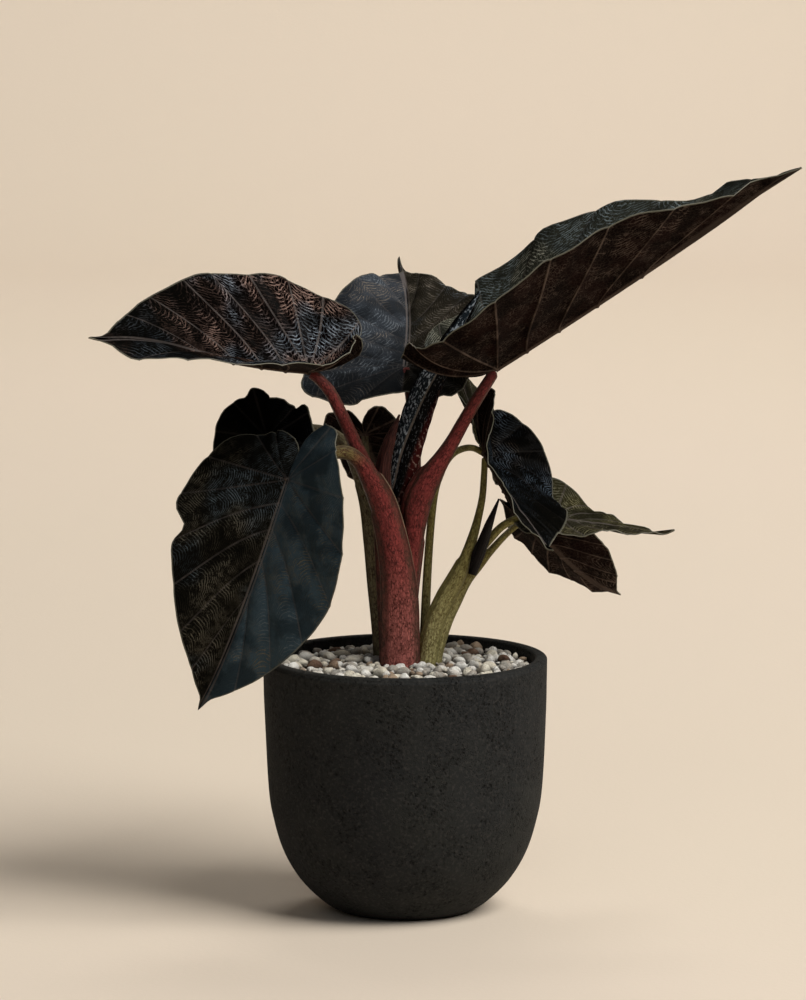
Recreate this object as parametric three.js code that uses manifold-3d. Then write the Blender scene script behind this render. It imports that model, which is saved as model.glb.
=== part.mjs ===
// A potted velvet alocasia: dark heart-shaped leaves on red stalks, an olive side shoot
// and a charcoal pot topped with pale pumice.
// Millimetres, +Z up, origin at the middle of the pot's foot, +X to the right of the photo
// and +Y away from its viewer.

import * as THREE from "three";
import ManifoldModule from "manifold-3d";

const wasm = await ManifoldModule();
wasm.setup();

// Sizes shared by several pieces

const POT_HEIGHT = 134.3;
const POT_RIM_RADIUS = 74.7;
const POT_WALL = 6.6;
const POT_FLOOR = 9;
const POT_LIP = 2;
const POT_SIDES = 48;
// The inside rounds into the floor over this height and this much radius
const FLOOR_ROUNDING = 4;
const FLOOR_INSET = 1;
const FIT_GAP = 0.3;
const TOPPING_LEVEL = 128.6;
const TOPPING_DOME = 2.2;
const TOPPING_DEPTH = 13;
const ROOT_LEVEL = 109;
const BLADE_THICKNESS = 0.9;
const STALK_SIDES = 8;
const STALK_STEPS = 13;
// Share of a stalk's length either side of a point that gives its direction
const STALK_SLOPE_REACH = 0.02;

// Outer wall of the pot as radius and height, from the foot up
const POT_WALL_POINTS = [
  [35, 0],
  [43.5, 4.6],
  [55, 16],
  [63.6, 30.5],
  [68.8, 47],
  [71.8, 65],
  [74, 105],
];

const COLOURS = {
  pot: { colour: 0x2b2a2b, roughness: 0.85 },
  mix: { colour: 0x2a1f18, roughness: 0.95 },
  pumice: { colour: 0xcfc6b6, roughness: 0.9 },
  darkLeaf: { colour: 0x12110f, roughness: 0.38 },
  oliveLeaf: { colour: 0x2c2c1e, roughness: 0.45 },
  redStalk: { colour: 0x5c2324, roughness: 0.5 },
  oliveStalk: { colour: 0x6a6a34, roughness: 0.5 },
  darkSpear: { colour: 0x2a1718, roughness: 0.5 },
};

// Half of the flat leaf outline from the notch behind the stalk, round the basal lobe, to the tip.
// Both values are shares of the length from stalk to tip: along the midrib, then sideways.
const NOTCH_DEPTH = 0.12;
const HALF_OUTLINE = [
  [-NOTCH_DEPTH, 0],
  [-0.215, 0.03],
  [-0.29, 0.11],
  [-0.275, 0.22],
  [-0.16, 0.325],
  [0.03, 0.385],
  [0.22, 0.38],
  [0.41, 0.335],
  [0.58, 0.265],
  [0.74, 0.175],
  [0.87, 0.08],
  [0.945, 0.022],
  [1, 0],
];
const WIDEST_HALF = 0.385;
const LAST_STALK_VEIN = 0.16;
const VEIN_SPACING_POWER = 1.4;
const FOLD_STATIONS = [-0.25, 0.25, 0.9];
// Outline points over which the gap between the lobes closes again
const GAPE_POINTS = 3;
const MIDRIB_STEPS = 14;
// The lobes reach this share of the length behind the stalk, and droop over their own share
const LOBE_STEPS = 4;
const LOBE_REACH = 0.35;
const LOBE_DROOP_REACH = 0.3;
// A half with no curl gets this one in radians, so that its arc has a radius
const FLATTEST_CURL = 1e-4;
// Shares of the margin over which the ripples die out at the notch and at the tip
const NOTCH_QUIET = 1 / 6;
const TIP_QUIET = 0.2;
// Share of the outline over which the ruffles fade at the notch and at the tip
const RUFFLE_QUIET = 0.06;
// Share of the outline on either side of a point that its direction is read over
const SLOPE_REACH = 0.004;

// One entry per open leaf. Angles are in degrees and lengths in millimetres.
// joint: where the stalk meets the blade. azimuth: way the midrib sets out, from +X towards +Y.
// rise: climb of the midrib. bend: downward turn over the length, tipBend: extra turn near the tip.
// left and right: each half seen from above with the tip ahead, with its width factor, its fold up
// from the midrib at the lobe, the middle and the tip, and its further curl towards the margin.
// wave: height and number of the ripples along the margin.
// ruffles: single bumps of the margin. Each has its half (1 left, -1 right), its middle and reach
// as shares of the outline, and how far it lifts the margin and swells the outline.
const LEAVES = {
  top_right: {
    joint: [47.7, 0, 286], length: 193, azimuth: -13, rise: 33, roll: -2,
    bend: -2, tipBend: 0, sweep: -12, twist: -6, lobeDroop: -75, notch: 0.05, gape: 0.035,
    left: { width: 1.06, lobeFold: 30, fold: 37, tipFold: 34, curl: 8 },
    right: { width: 1, lobeFold: 14, fold: 12, tipFold: 25, curl: 16 },
    wave: { height: 2.6, count: 5, phase: 0.6 }, look: "darkLeaf", rows: 28, columns: 3,
    ruffles: [
      [1, 0.44, 0.03, -5, 0], [1, 0.51, 0.03, 5, 0], [1, 0.7, 0.06, -8, 0],
      [1, 0.8, 0.05, -3, 0], [-1, 0.08, 0.06, 6, 0], [-1, 0.2, 0.06, 0, -6],
      [-1, 0.45, 0.045, -8, 0], [-1, 0.565, 0.02, 5, 0], [-1, 0.82, 0.05, -5, 0],
    ],
  },
  top_left: {
    joint: [-50.6, -5, 285], length: 142, azimuth: 211, rise: 7, roll: -21,
    bend: -28, tipBend: 34, sweep: 15, twist: -11, lobeDroop: -28, notch: 0.03, gape: 0,
    left: { width: 1, lobeFold: 25, fold: 29, tipFold: 12, curl: 0 },
    right: { width: 1, lobeFold: 35, fold: 38, tipFold: 38, curl: -4 },
    wave: { height: 1.8, count: 5, phase: 1.2 }, look: "darkLeaf", rows: 28, columns: 3,
    ruffles: [
      [1, 0.1, 0.05, 3, -8], [1, 0.26, 0.16, 19, -22], [1, 0.69, 0.06, 4, 0],
      [1, 0.82, 0.08, -6, 0], [-1, 0.1, 0.07, 5, -5], [-1, 0.5, 0.05, 0, -1.5],
      [-1, 0.73, 0.08, 0, -1.5], [-1, 0.87, 0.03, 0, 1],
    ],
  },
  top_back: {
    joint: [0, 49, 281.5], length: 119, azimuth: 85, rise: 28, roll: -2,
    bend: 17, tipBend: -4, sweep: 12, twist: 21, lobeDroop: 3, notch: 0.2, gape: 0.01,
    left: { width: 1.2, lobeFold: -1, fold: 2, tipFold: 4, curl: -6 },
    right: { width: 1, lobeFold: 0, fold: 14, tipFold: 20, curl: 0 },
    wave: { height: 2.2, count: 5, phase: 2.4 }, look: "darkLeaf", rows: 28, columns: 3,
    ruffles: [
      [1, 0.2, 0.06, 0, -5], [1, 0.34, 0.04, 0, 5], [1, 0.9, 0.05, 0, -5],
      [-1, 0.2, 0.08, 0, -4], [-1, 0.33, 0.06, 0, -5], [-1, 0.82, 0.06, 0, -2],
    ],
  },
  front_left: {
    joint: [-60.5, -40, 232.6], length: 132, azimuth: 209, rise: -69, roll: -18,
    bend: 22, tipBend: 5, sweep: -19, twist: -46, lobeDroop: 20, notch: 0.12, gape: 0,
    left: { width: 1.03, lobeFold: 20, fold: 6, tipFold: 5, curl: -6 },
    right: { width: 1.06, lobeFold: 3, fold: 16, tipFold: 13, curl: -4 },
    wave: { height: 1.6, count: 6, phase: 0 }, look: "darkLeaf", rows: 28, columns: 3,
    ruffles: [
      [1, 0.2, 0.1, 0, -8], [1, 0.31, 0.05, 0, -7], [1, 0.43, 0.07, 0, -4],
      [-1, 0.19, 0.13, -3, -18], [-1, 0.3, 0.05, 0, -6], [-1, 0.5, 0.03, 2, 1],
      [-1, 0.545, 0.02, 0, -6],
    ],
  },
  back_left: {
    joint: [-71.5, -5, 249.9], length: 84, azimuth: 226, rise: -76, roll: -9,
    bend: 10, tipBend: 0, sweep: 0, twist: 0, lobeDroop: 10, notch: 0.13, gape: 0.01,
    left: { width: 1, lobeFold: 4, fold: 4, tipFold: 10, curl: 0 },
    right: { width: 1, lobeFold: 5, fold: 5, tipFold: 10, curl: 0 },
    wave: { height: 2, count: 6, phase: 1 }, look: "darkLeaf", rows: 22, columns: 2,
    ruffles: [
      [1, 0.07, 0.05, 3.5, 7], [1, 0.18, 0.07, 2, -6], [1, 0.24, 0.03, 0, -4],
      [-1, 0.1, 0.06, -2, 0], [-1, 0.26, 0.03, 0, -3],
    ],
  },
  back_low: {
    joint: [-21.3, 36, 247], length: 64, azimuth: 72, rise: -47, roll: 0,
    bend: 8, tipBend: 0, sweep: 0, twist: 0, lobeDroop: -11, notch: 0.12, gape: 0.01,
    left: { width: 1, lobeFold: 5, fold: 8, tipFold: 10, curl: 0 },
    right: { width: 1, lobeFold: 5, fold: 8, tipFold: 10, curl: 0 },
    wave: { height: 1.6, count: 5, phase: 2 }, look: "darkLeaf", rows: 22, columns: 2,
    ruffles: [[1, 0.2, 0.08, 0, -5]],
  },
  shoot_glossy: {
    joint: [42, 24, 238], length: 92, azimuth: -66, rise: -35, roll: -13,
    bend: -16, tipBend: 0, sweep: -5, twist: 6, lobeDroop: -1, notch: 0.1, gape: 0,
    left: { width: 0.98, lobeFold: 30, fold: -6, tipFold: 2, curl: -4 },
    right: { width: 0.85, lobeFold: 88, fold: 42, tipFold: 30, curl: 14 },
    wave: { height: 1.4, count: 5, phase: 0.4 }, look: "darkLeaf", rows: 22, columns: 3,
    ruffles: [
      [1, 0.48, 0.03, 0, 2], [1, 0.62, 0.09, 0, 4], [-1, 0.22, 0.1, 0, 8],
    ],
  },
  shoot_upright: {
    joint: [43.7, 58, 232.5], length: 64, azimuth: 129, rise: 57, roll: 20,
    bend: -1, tipBend: 0, sweep: 1, twist: 1, lobeDroop: 0, notch: 0.1, gape: 0.01,
    left: { width: 0.35, lobeFold: 20, fold: 16, tipFold: 15, curl: 0 },
    right: { width: 0.8, lobeFold: 20, fold: 16, tipFold: 14, curl: 0 },
    wave: { height: 1.4, count: 5, phase: 1.7 }, look: "oliveLeaf", rows: 22, columns: 2,
    ruffles: [],
  },
  shoot_pointing: {
    joint: [78, 22, 203.5], length: 61, azimuth: -19, rise: -3, roll: 20,
    bend: 6, tipBend: 0, sweep: 4, twist: -26, lobeDroop: 10, notch: 0.12, gape: 0.01,
    left: { width: 1.02, lobeFold: 36, fold: -6, tipFold: -8, curl: 0 },
    right: { width: 1, lobeFold: 10, fold: 5, tipFold: -2, curl: -2 },
    wave: { height: 1.3, count: 5, phase: 0.9 }, look: "oliveLeaf", rows: 22, columns: 2,
    ruffles: [
      [1, 0.3, 0.1, 0, 7], [-1, 0.7, 0.05, 0, -2], [-1, 0.85, 0.05, 0, 3],
    ],
  },
  shoot_hanging: {
    joint: [67.8, 60, 196.8], length: 82, azimuth: 22, rise: -51, roll: -34,
    bend: -40, tipBend: -6, sweep: 12, twist: -4, lobeDroop: 8, notch: 0.12, gape: 0.01,
    left: { width: 1.05, lobeFold: 28, fold: 20, tipFold: 12, curl: 7 },
    right: { width: 0.88, lobeFold: -25, fold: 4, tipFold: 14, curl: 0 },
    wave: { height: 1.2, count: 5, phase: 2.2 }, look: "darkLeaf", rows: 20, columns: 2,
    ruffles: [
      [1, 0.2, 0.12, 0, -12], [1, 0.4, 0.06, 0, -2], [1, 0.8, 0.08, 0, 4],
    ],
  },
};

// Stalks and spears. Each path runs from the roots up; half sizes are across and front to back.
// A stalk listed earlier keeps its full section, and later ones are hollowed where they nest in it.
const STALKS = {
  front_left: {
    path: [[-3, -8, ROOT_LEVEL], [-3, -8, 133], [-3, -9, 165], [-5, -10, 186], [-9, -12, 206],
      [-13, -14, 219], [-18, -18, 230], [-23, -22, 239], [-30, -27, 245], [-39, -31, 245],
      [-49, -36, 241], [-60.5, -40, 232.6]],
    halfAcross: [10.6, 10.4, 9.4, 8, 6.9, 6.6, 5.4, 4.2, 3.6, 3.3, 3, 2.8],
    halfDeep: [6.5, 6.5, 6, 5.6, 5.2, 4.8, 4.4, 3.8, 3.5, 3.3, 3, 2.8],
    look: "redStalk", blade: "front_left",
  },
  top_right: {
    path: [[0, 3, ROOT_LEVEL], [0, 3, 137], [1, 3, 163], [3, 2, 185], [4.5, 1, 201], [7, 0, 216],
      [12.5, 0, 228], [19.5, 0, 239], [25, 0, 248], [31, -1, 259], [38, -2, 271], [47.7, 0, 286]],
    halfAcross: [5, 5, 5.2, 5.4, 6, 7.2, 6.4, 4.4, 3.7, 3.4, 3.1, 2.8],
    halfDeep: [4.6, 4.6, 4.6, 4.6, 4.6, 4.6, 4.4, 4, 3.6, 3.3, 3.1, 2.8],
    look: "redStalk", blade: "top_right",
  },
  top_left: {
    path: [[-9, 3, ROOT_LEVEL], [-9, 3, 137], [-11, 2, 185], [-13, 0, 215], [-17, -2, 228],
      [-23, -4, 240], [-28, -5, 251], [-33, -6, 262], [-39, -6, 274], [-45, -6, 281],
      [-50.6, -5, 285]],
    halfAcross: [4.5, 4.5, 4.4, 4.2, 4, 3.7, 3.5, 3.3, 3.1, 2.9, 2.7],
    halfDeep: [4.4, 4.4, 4.4, 4.2, 4, 3.7, 3.5, 3.3, 3.1, 2.9, 2.7],
    look: "redStalk", blade: "top_left",
  },
  rolled_leaf: {
    path: [[-1, 12, ROOT_LEVEL], [-2, 12, 135], [-4, 11, 183], [-5, 9, 212], [-2, 9, 226],
      [0, 9, 237], [3, 9, 249], [7, 9, 262], [11, 9, 273], [16, 9, 284], [21, 9.5, 294],
      [30, 11, 310], [39, 12, 325]],
    halfAcross: [4.4, 4.4, 4.4, 4.8, 6.7, 7.8, 8, 8, 7.5, 7, 5.6, 3.6, 0.5],
    halfDeep: [4.4, 4.4, 4.4, 4.6, 5.6, 6.2, 6.4, 6.2, 5.8, 5, 4.2, 2.8, 0.5],
    look: "darkLeaf", blade: null,
  },
  sheath_spear: {
    path: [[-7, -1, 180], [-11, -3, 213], [-12, -3, 228], [-11, -3, 238], [-8, -3, 249],
      [-3, -3, 262]],
    halfAcross: [3, 4.6, 4.2, 3.6, 2.8, 0.4],
    halfDeep: [2.4, 3.2, 3.2, 3, 2.4, 0.4],
    look: "darkSpear", blade: null,
  },
  top_back: {
    path: [[3, 21, ROOT_LEVEL], [3, 21, 136], [4, 20, 181], [5, 19, 215], [5, 20, 243],
      [3, 34, 266], [0, 49, 281.5]],
    halfAcross: [3.6, 3.6, 3.4, 3.2, 3, 2.9, 2.7],
    halfDeep: [3.6, 3.6, 3.4, 3.2, 3, 2.9, 2.7],
    look: "redStalk", blade: "top_back",
  },
  back_left: {
    path: [[-11, 12, ROOT_LEVEL], [-11, 12, 138], [-14, 12, 172], [-16, 12, 194], [-19, 11, 215],
      [-24, 9, 231], [-30, 7, 243], [-37, 4, 250], [-45, 2, 253], [-58, -2, 254],
      [-71.5, -5, 249.9]],
    halfAcross: [6.2, 6.2, 6.2, 6, 5.2, 4.4, 3.6, 3.2, 3, 2.8, 2.6],
    halfDeep: [4.6, 4.6, 4.6, 4.4, 4.2, 3.8, 3.4, 3.2, 3, 2.8, 2.6],
    look: "oliveStalk", blade: "back_left",
  },
  back_low: {
    path: [[-4, 22, ROOT_LEVEL], [-4, 22, 136], [-11, 26, 181], [-19, 32, 218], [-21, 35, 239],
      [-21.3, 36, 247]],
    halfAcross: [3, 3, 2.6, 2.2, 1.9, 1.8],
    halfDeep: [3, 3, 2.6, 2.2, 1.9, 1.8],
    look: "oliveStalk", blade: "back_low",
  },
  shoot_glossy: {
    path: [[11.6, -1, ROOT_LEVEL], [11.6, -1, 132], [15, 0, 150], [21, 1, 164], [27, 2, 175],
      [31, 4, 184], [35, 6, 195], [38, 11, 205], [40.5, 17, 216], [41.5, 22, 228],
      [42, 24, 238]],
    halfAcross: [5.4, 5.4, 5, 5, 4.4, 3.2, 2.7, 2.1, 1.8, 1.7, 1.7],
    halfDeep: [4.6, 4.6, 4.4, 4.2, 3.8, 3, 2.6, 2.1, 1.8, 1.7, 1.7],
    look: "oliveStalk", blade: "shoot_glossy",
  },
  shoot_hanging: {
    path: [[15, 3, ROOT_LEVEL], [15, 3, 131], [20, 4, 150], [26, 6, 163], [31.5, 9, 173],
      [38, 12, 180], [45, 19, 187], [53, 29, 194], [60, 43, 197.5], [67.8, 60, 196.8]],
    halfAcross: [4.2, 4.2, 4.2, 4, 3.6, 2.8, 2, 1.7, 1.6, 1.6],
    halfDeep: [4, 4, 4, 3.8, 3.4, 2.6, 2, 1.7, 1.6, 1.6],
    look: "oliveStalk", blade: "shoot_hanging",
  },
  shoot_pointing: {
    path: [[13, 8, ROOT_LEVEL], [13, 8, 133], [17, 8, 152], [23, 9, 164], [30, 11, 175],
      [37, 14, 185], [44, 17, 193], [51, 19, 200], [59, 20, 204], [68, 21, 206],
      [78, 22, 203.5]],
    halfAcross: [3.6, 3.6, 3.6, 3.4, 3, 2.4, 2.2, 2.1, 2, 1.9, 1.8],
    halfDeep: [3.4, 3.4, 3.4, 3.2, 2.8, 2.4, 2.2, 2.1, 2, 1.9, 1.8],
    look: "oliveStalk", blade: "shoot_pointing",
  },
  shoot_upright: {
    path: [[10, 16, ROOT_LEVEL], [10, 16, 137], [12, 19, 182], [15, 25, 214], [19, 32, 227],
      [23.5, 39, 234], [29, 47, 237], [36, 54, 237], [43.7, 58, 232.5]],
    halfAcross: [2.6, 2.6, 2.2, 2, 1.9, 1.8, 1.8, 1.7, 1.7],
    halfDeep: [2.6, 2.6, 2.2, 2, 1.9, 1.8, 1.8, 1.7, 1.7],
    look: "oliveStalk", blade: "shoot_upright",
  },
  shoot_spike: {
    path: [[35, 1, 177], [38, 2, 187], [41, 2, 195], [44, 2, 204], [49, 2, 217]],
    halfAcross: [2, 3.2, 2.8, 2, 0.4],
    halfDeep: [1.6, 2.2, 2, 1.6, 0.4],
    look: "darkSpear", blade: null,
  },
};

// Pebbles are blocks with moved corners. Their size is the half side before the stretch.
const PEBBLE_COUNT = 66;
const PEBBLE_SIZE = { smallest: 4.2, largest: 6.8 };
const PEBBLE_SEED = 4924;
const PEBBLE_BLOCK = 1.3;
const PEBBLE_STRETCH = { least: [0.8, 0.8, 0.6], spread: [0.45, 0.35, 0.3] };
const PEBBLE_BUMP = { least: 0.85, spread: 0.3 };
const PEBBLE_SUNK = 0.25;
const PEBBLE_WALL_ROOM = 1.35;
const PEBBLE_TURN_SPREAD = 0.3;
const BED_RING_SHARES = [0.97, 0.75, 0.4];
const BED_EDGE_DROP = 1;

// Numbers and curves

function radians(degrees) {
  return (degrees * Math.PI) / 180;
}

function clamp(value, low, high) {
  return Math.min(high, Math.max(low, value));
}

function seededRandom(seed) {
  const factor = 1664525;
  const increment = 1013904223;
  const range = 2 ** 32;
  let state = seed >>> 0;
  return () => {
    state = (state * factor + increment) >>> 0;
    return state / range;
  };
}

// Straight-line reading of a table with rising stations
function readBetween(stations, values, where) {
  let i = 0;
  while (i < stations.length - 2 && where > stations[i + 1]) i += 1;
  const share = clamp((where - stations[i]) / (stations[i + 1] - stations[i]), 0, 1);
  return values[i] + (values[i + 1] - values[i]) * share;
}

// Smooth curve through points of any dimension, read at a share from 0 to 1
function smoothPoint(points, share) {
  const last = points.length - 1;
  const place = clamp(share, 0, 1) * last;
  const i = Math.min(Math.floor(place), last - 1);
  const f = place - i;
  return points[i].map((_, k) => {
    const b = points[i][k];
    const c = points[i + 1][k];
    const a = i > 0 ? points[i - 1][k] : 2 * b - c;
    const d = i < last - 1 ? points[i + 2][k] : 2 * c - b;
    const cubic = 2 * b + (c - a) * f + (2 * a - 5 * b + 4 * c - d) * f * f;
    return 0.5 * (cubic + (3 * b - a - 3 * c + d) * f * f * f);
  });
}

// Shells: a list of points and a list of outward triangles

function shellManifold(shell) {
  const vertProperties = new Float32Array(shell.points.flatMap((p) => [p.x, p.y, p.z]));
  const triVerts = new Uint32Array(shell.faces.flat());
  return new wasm.Manifold(new wasm.Mesh({ numProp: 3, vertProperties, triVerts }));
}

function manifoldShell(solid) {
  const mesh = solid.getMesh();
  const points = [];
  for (let i = 0; i < mesh.vertProperties.length; i += mesh.numProp) {
    points.push(new THREE.Vector3(...mesh.vertProperties.slice(i, i + 3)));
  }
  const faces = [];
  for (let i = 0; i < mesh.triVerts.length; i += 3) {
    faces.push(Array.from(mesh.triVerts.slice(i, i + 3)));
  }
  return { points, faces };
}

function shellVolume(shell) {
  const cross = new THREE.Vector3();
  return shell.faces.reduce((sum, [a, b, c]) => {
    cross.crossVectors(shell.points[b], shell.points[c]);
    return sum + shell.points[a].dot(cross) / 6;
  }, 0);
}

// The largest closed piece of a shell, with unused points dropped
function largestPiece(shell) {
  const parent = shell.points.map((_, i) => i);
  const find = (i) => {
    let root = i;
    while (parent[root] !== root) root = parent[root];
    parent[i] = root;
    return root;
  };
  for (const [a, b, c] of shell.faces) {
    parent[find(b)] = find(a);
    parent[find(c)] = find(a);
  }
  const pieces = new Map();
  for (const face of shell.faces) {
    const root = find(face[0]);
    if (!pieces.has(root)) pieces.set(root, []);
    pieces.get(root).push(face);
  }
  const shells = [...pieces.values()].map((faces) => ({ points: shell.points, faces }));
  shells.sort((one, other) => shellVolume(other) - shellVolume(one));
  const index = new Map();
  const points = [];
  const faces = shells[0].faces.map((face) => face.map((old) => {
    if (!index.has(old)) {
      index.set(old, points.length);
      points.push(shell.points[old]);
    }
    return index.get(old);
  }));
  return { points, faces };
}

// Blades

// Centre line of a leaf: station, place, direction along and upper normal, lobes included
function leafSpine(leaf) {
  const azimuth = radians(leaf.azimuth);
  const rise = radians(leaf.rise);
  const along = new THREE.Vector3(
    Math.cos(rise) * Math.cos(azimuth), Math.cos(rise) * Math.sin(azimuth), Math.sin(rise));
  const up = new THREE.Vector3(
    -Math.sin(rise) * Math.cos(azimuth), -Math.sin(rise) * Math.sin(azimuth), Math.cos(rise));
  up.applyAxisAngle(along, radians(leaf.roll));
  const start = { station: 0, place: new THREE.Vector3(...leaf.joint), along, up };
  const forward = walkSpine(leaf, start, MIDRIB_STEPS, 1 / MIDRIB_STEPS);
  const backward = walkSpine(leaf, start, LOBE_STEPS, -LOBE_REACH / LOBE_STEPS);
  return [...backward.reverse(), start, ...forward];
}

// The tip bend grows with the cube of the station, and its shares add up to the whole angle
function walkSpine(leaf, start, steps, stride) {
  const spine = [];
  let { station, place, along, up } = start;
  for (let i = 0; i < steps; i += 1) {
    const middle = station + stride / 2;
    const side = new THREE.Vector3().crossVectors(up, along);
    const ahead = stride > 0;
    const turn = ahead
      ? (leaf.bend + leaf.tipBend * 4 * middle ** 3) * stride
      : (leaf.lobeDroop * stride) / LOBE_DROOP_REACH;
    const nextAlong = along.clone().applyAxisAngle(side, radians(turn));
    const nextUp = up.clone().applyAxisAngle(side, radians(turn));
    if (ahead) {
      nextAlong.applyAxisAngle(nextUp, radians(leaf.sweep * stride));
      nextUp.applyAxisAngle(nextAlong, radians(leaf.twist * stride));
    }
    const step = along.clone().add(nextAlong).multiplyScalar((stride * leaf.length) / 2);
    place = place.clone().add(step);
    station += stride;
    along = nextAlong;
    up = nextUp;
    spine.push({ station, place, along, up });
  }
  return spine;
}

function spineAt(spine, station) {
  let i = 0;
  while (i < spine.length - 2 && station > spine[i + 1].station) i += 1;
  const low = spine[i];
  const high = spine[i + 1];
  const share = clamp((station - low.station) / (high.station - low.station), 0, 1);
  return {
    place: low.place.clone().lerp(high.place, share),
    along: low.along.clone().lerp(high.along, share),
    up: low.up.clone().lerp(high.up, share),
  };
}

function leafOutline(leaf) {
  return HALF_OUTLINE.map(([along, aside], i) => {
    if (i === 0) return [-leaf.notch, 0];
    const opened = aside + leaf.gape * clamp(1 - (i - 1) / GAPE_POINTS, 0, 1);
    return [along, opened];
  });
}

// Sum of a half's ruffles at a share of the margin
function ruffled(leaf, hand, margin) {
  const sum = { lift: 0, swell: 0 };
  for (const [side, middle, reach, lift, swell] of leaf.ruffles) {
    const weight = side === hand ? Math.exp(-(((margin - middle) / reach) ** 2)) : 0;
    sum.lift += lift * weight;
    sum.swell += swell * weight;
  }
  const share = clamp(margin / RUFFLE_QUIET, 0, 1) * clamp((1 - margin) / RUFFLE_QUIET, 0, 1);
  return { lift: sum.lift * share, swell: sum.swell * share };
}

// The half outline along and aside, pushed outward by a swell in shares of the length
function swelledEdge(outline, margin, swell) {
  const edge = smoothPoint(outline, margin);
  const before = smoothPoint(outline, margin - SLOPE_REACH);
  const after = smoothPoint(outline, margin + SLOPE_REACH);
  const along = after[0] - before[0];
  const aside = after[1] - before[1];
  const run = Math.hypot(along, aside);
  return [edge[0] - (aside / run) * swell, edge[1] + (along / run) * swell];
}

// A point of the blade: hand is 1 for the left half and -1 for the right, margin the share along
// the outline from notch to tip, and out the share from the midrib to the margin.
function bladePoint(leaf, spine, outline, hand, margin, out) {
  const half = hand > 0 ? leaf.left : leaf.right;
  const { lift, swell } = ruffled(leaf, hand, margin);
  const [edgeAlong, edgeAside] = swelledEdge(outline, margin, swell / leaf.length);
  const [plainAlong] = smoothPoint(outline, margin);
  const veinStart = clamp((plainAlong - LAST_STALK_VEIN) / (1 - LAST_STALK_VEIN), 0, 1);
  const root = veinStart ** VEIN_SPACING_POWER;
  const station = root + (edgeAlong - root) * out;
  const aside = edgeAside * half.width * out;
  const { place, along, up } = spineAt(spine, station);
  const side = new THREE.Vector3().crossVectors(up, along);
  const folds = [half.lobeFold, half.fold, half.tipFold];
  const fold = radians(readBetween(FOLD_STATIONS, folds, station));
  const curl = radians(half.curl) + FLATTEST_CURL;
  const angle = fold + (curl * aside) / WIDEST_HALF;
  const radius = WIDEST_HALF / curl;
  const across = radius * (Math.sin(angle) - Math.sin(fold)) * leaf.length;
  const lifted = -radius * (Math.cos(angle) - Math.cos(fold)) * leaf.length;
  const quiet = clamp((1 - margin) / TIP_QUIET, 0, 1) * clamp(margin / NOTCH_QUIET, 0, 1);
  const swing = Math.sin(2 * Math.PI * leaf.wave.count * margin + leaf.wave.phase + hand);
  const ripple = (leaf.wave.height * quiet * swing + lift) * out * out;
  return place
    .addScaledVector(side, hand * (across - Math.sin(angle) * ripple))
    .addScaledVector(up, lifted + Math.cos(angle) * ripple);
}

// The middle surface of a blade as an open sheet facing up
function bladeSheet(leaf) {
  const spine = leafSpine(leaf);
  const outline = leafOutline(leaf);
  const points = [];
  const known = new Map();
  const pointAt = (hand, i, j) => {
    const margin = i / leaf.rows;
    const out = j / leaf.columns;
    const point = bladePoint(leaf, spine, outline, hand, margin, out);
    const key = point.toArray().map((value) => Math.round(value * 1000)).join(" ");
    if (!known.has(key)) {
      known.set(key, points.length);
      points.push(point);
    }
    return known.get(key);
  };
  const faces = [];
  for (const hand of [1, -1]) {
    for (let i = 0; i < leaf.rows; i += 1) {
      for (let j = 0; j < leaf.columns; j += 1) {
        const corners = [[i, j], [i + 1, j], [i + 1, j + 1], [i, j + 1]];
        const [a, b, c, d] = corners.map(([row, column]) => pointAt(hand, row, column));
        const pair = hand > 0 ? [[a, b, c], [a, c, d]] : [[a, c, b], [a, d, c]];
        for (const face of pair) {
          if (new Set(face).size === 3) faces.push(face);
        }
      }
    }
  }
  return { points, faces };
}

function pointNormals(sheet) {
  const normals = sheet.points.map(() => new THREE.Vector3());
  for (const [a, b, c] of sheet.faces) {
    const one = sheet.points[b].clone().sub(sheet.points[a]);
    const other = sheet.points[c].clone().sub(sheet.points[a]);
    const normal = one.cross(other);
    for (const i of [a, b, c]) normals[i].add(normal);
  }
  return normals.map((normal) => normal.normalize());
}

// A sheet thickened evenly to both sides, with triangles alike on both faces
function thickened(sheet, thickness) {
  const normals = pointNormals(sheet);
  const count = sheet.points.length;
  const upper = sheet.points.map((p, i) => p.clone().addScaledVector(normals[i], thickness / 2));
  const lower = sheet.points.map((p, i) => p.clone().addScaledVector(normals[i], -thickness / 2));
  const faces = [...sheet.faces];
  const uses = new Map();
  for (const [a, b, c] of sheet.faces) {
    faces.push([a + count, c + count, b + count]);
    for (const [from, to] of [[a, b], [b, c], [c, a]]) uses.set(`${from} ${to}`, [from, to]);
  }
  for (const [from, to] of uses.values()) {
    if (uses.has(`${to} ${from}`)) continue;
    faces.push([from, from + count, to + count], [from, to + count, to]);
  }
  return { points: [...upper, ...lower], faces };
}

// Stalks

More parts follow.
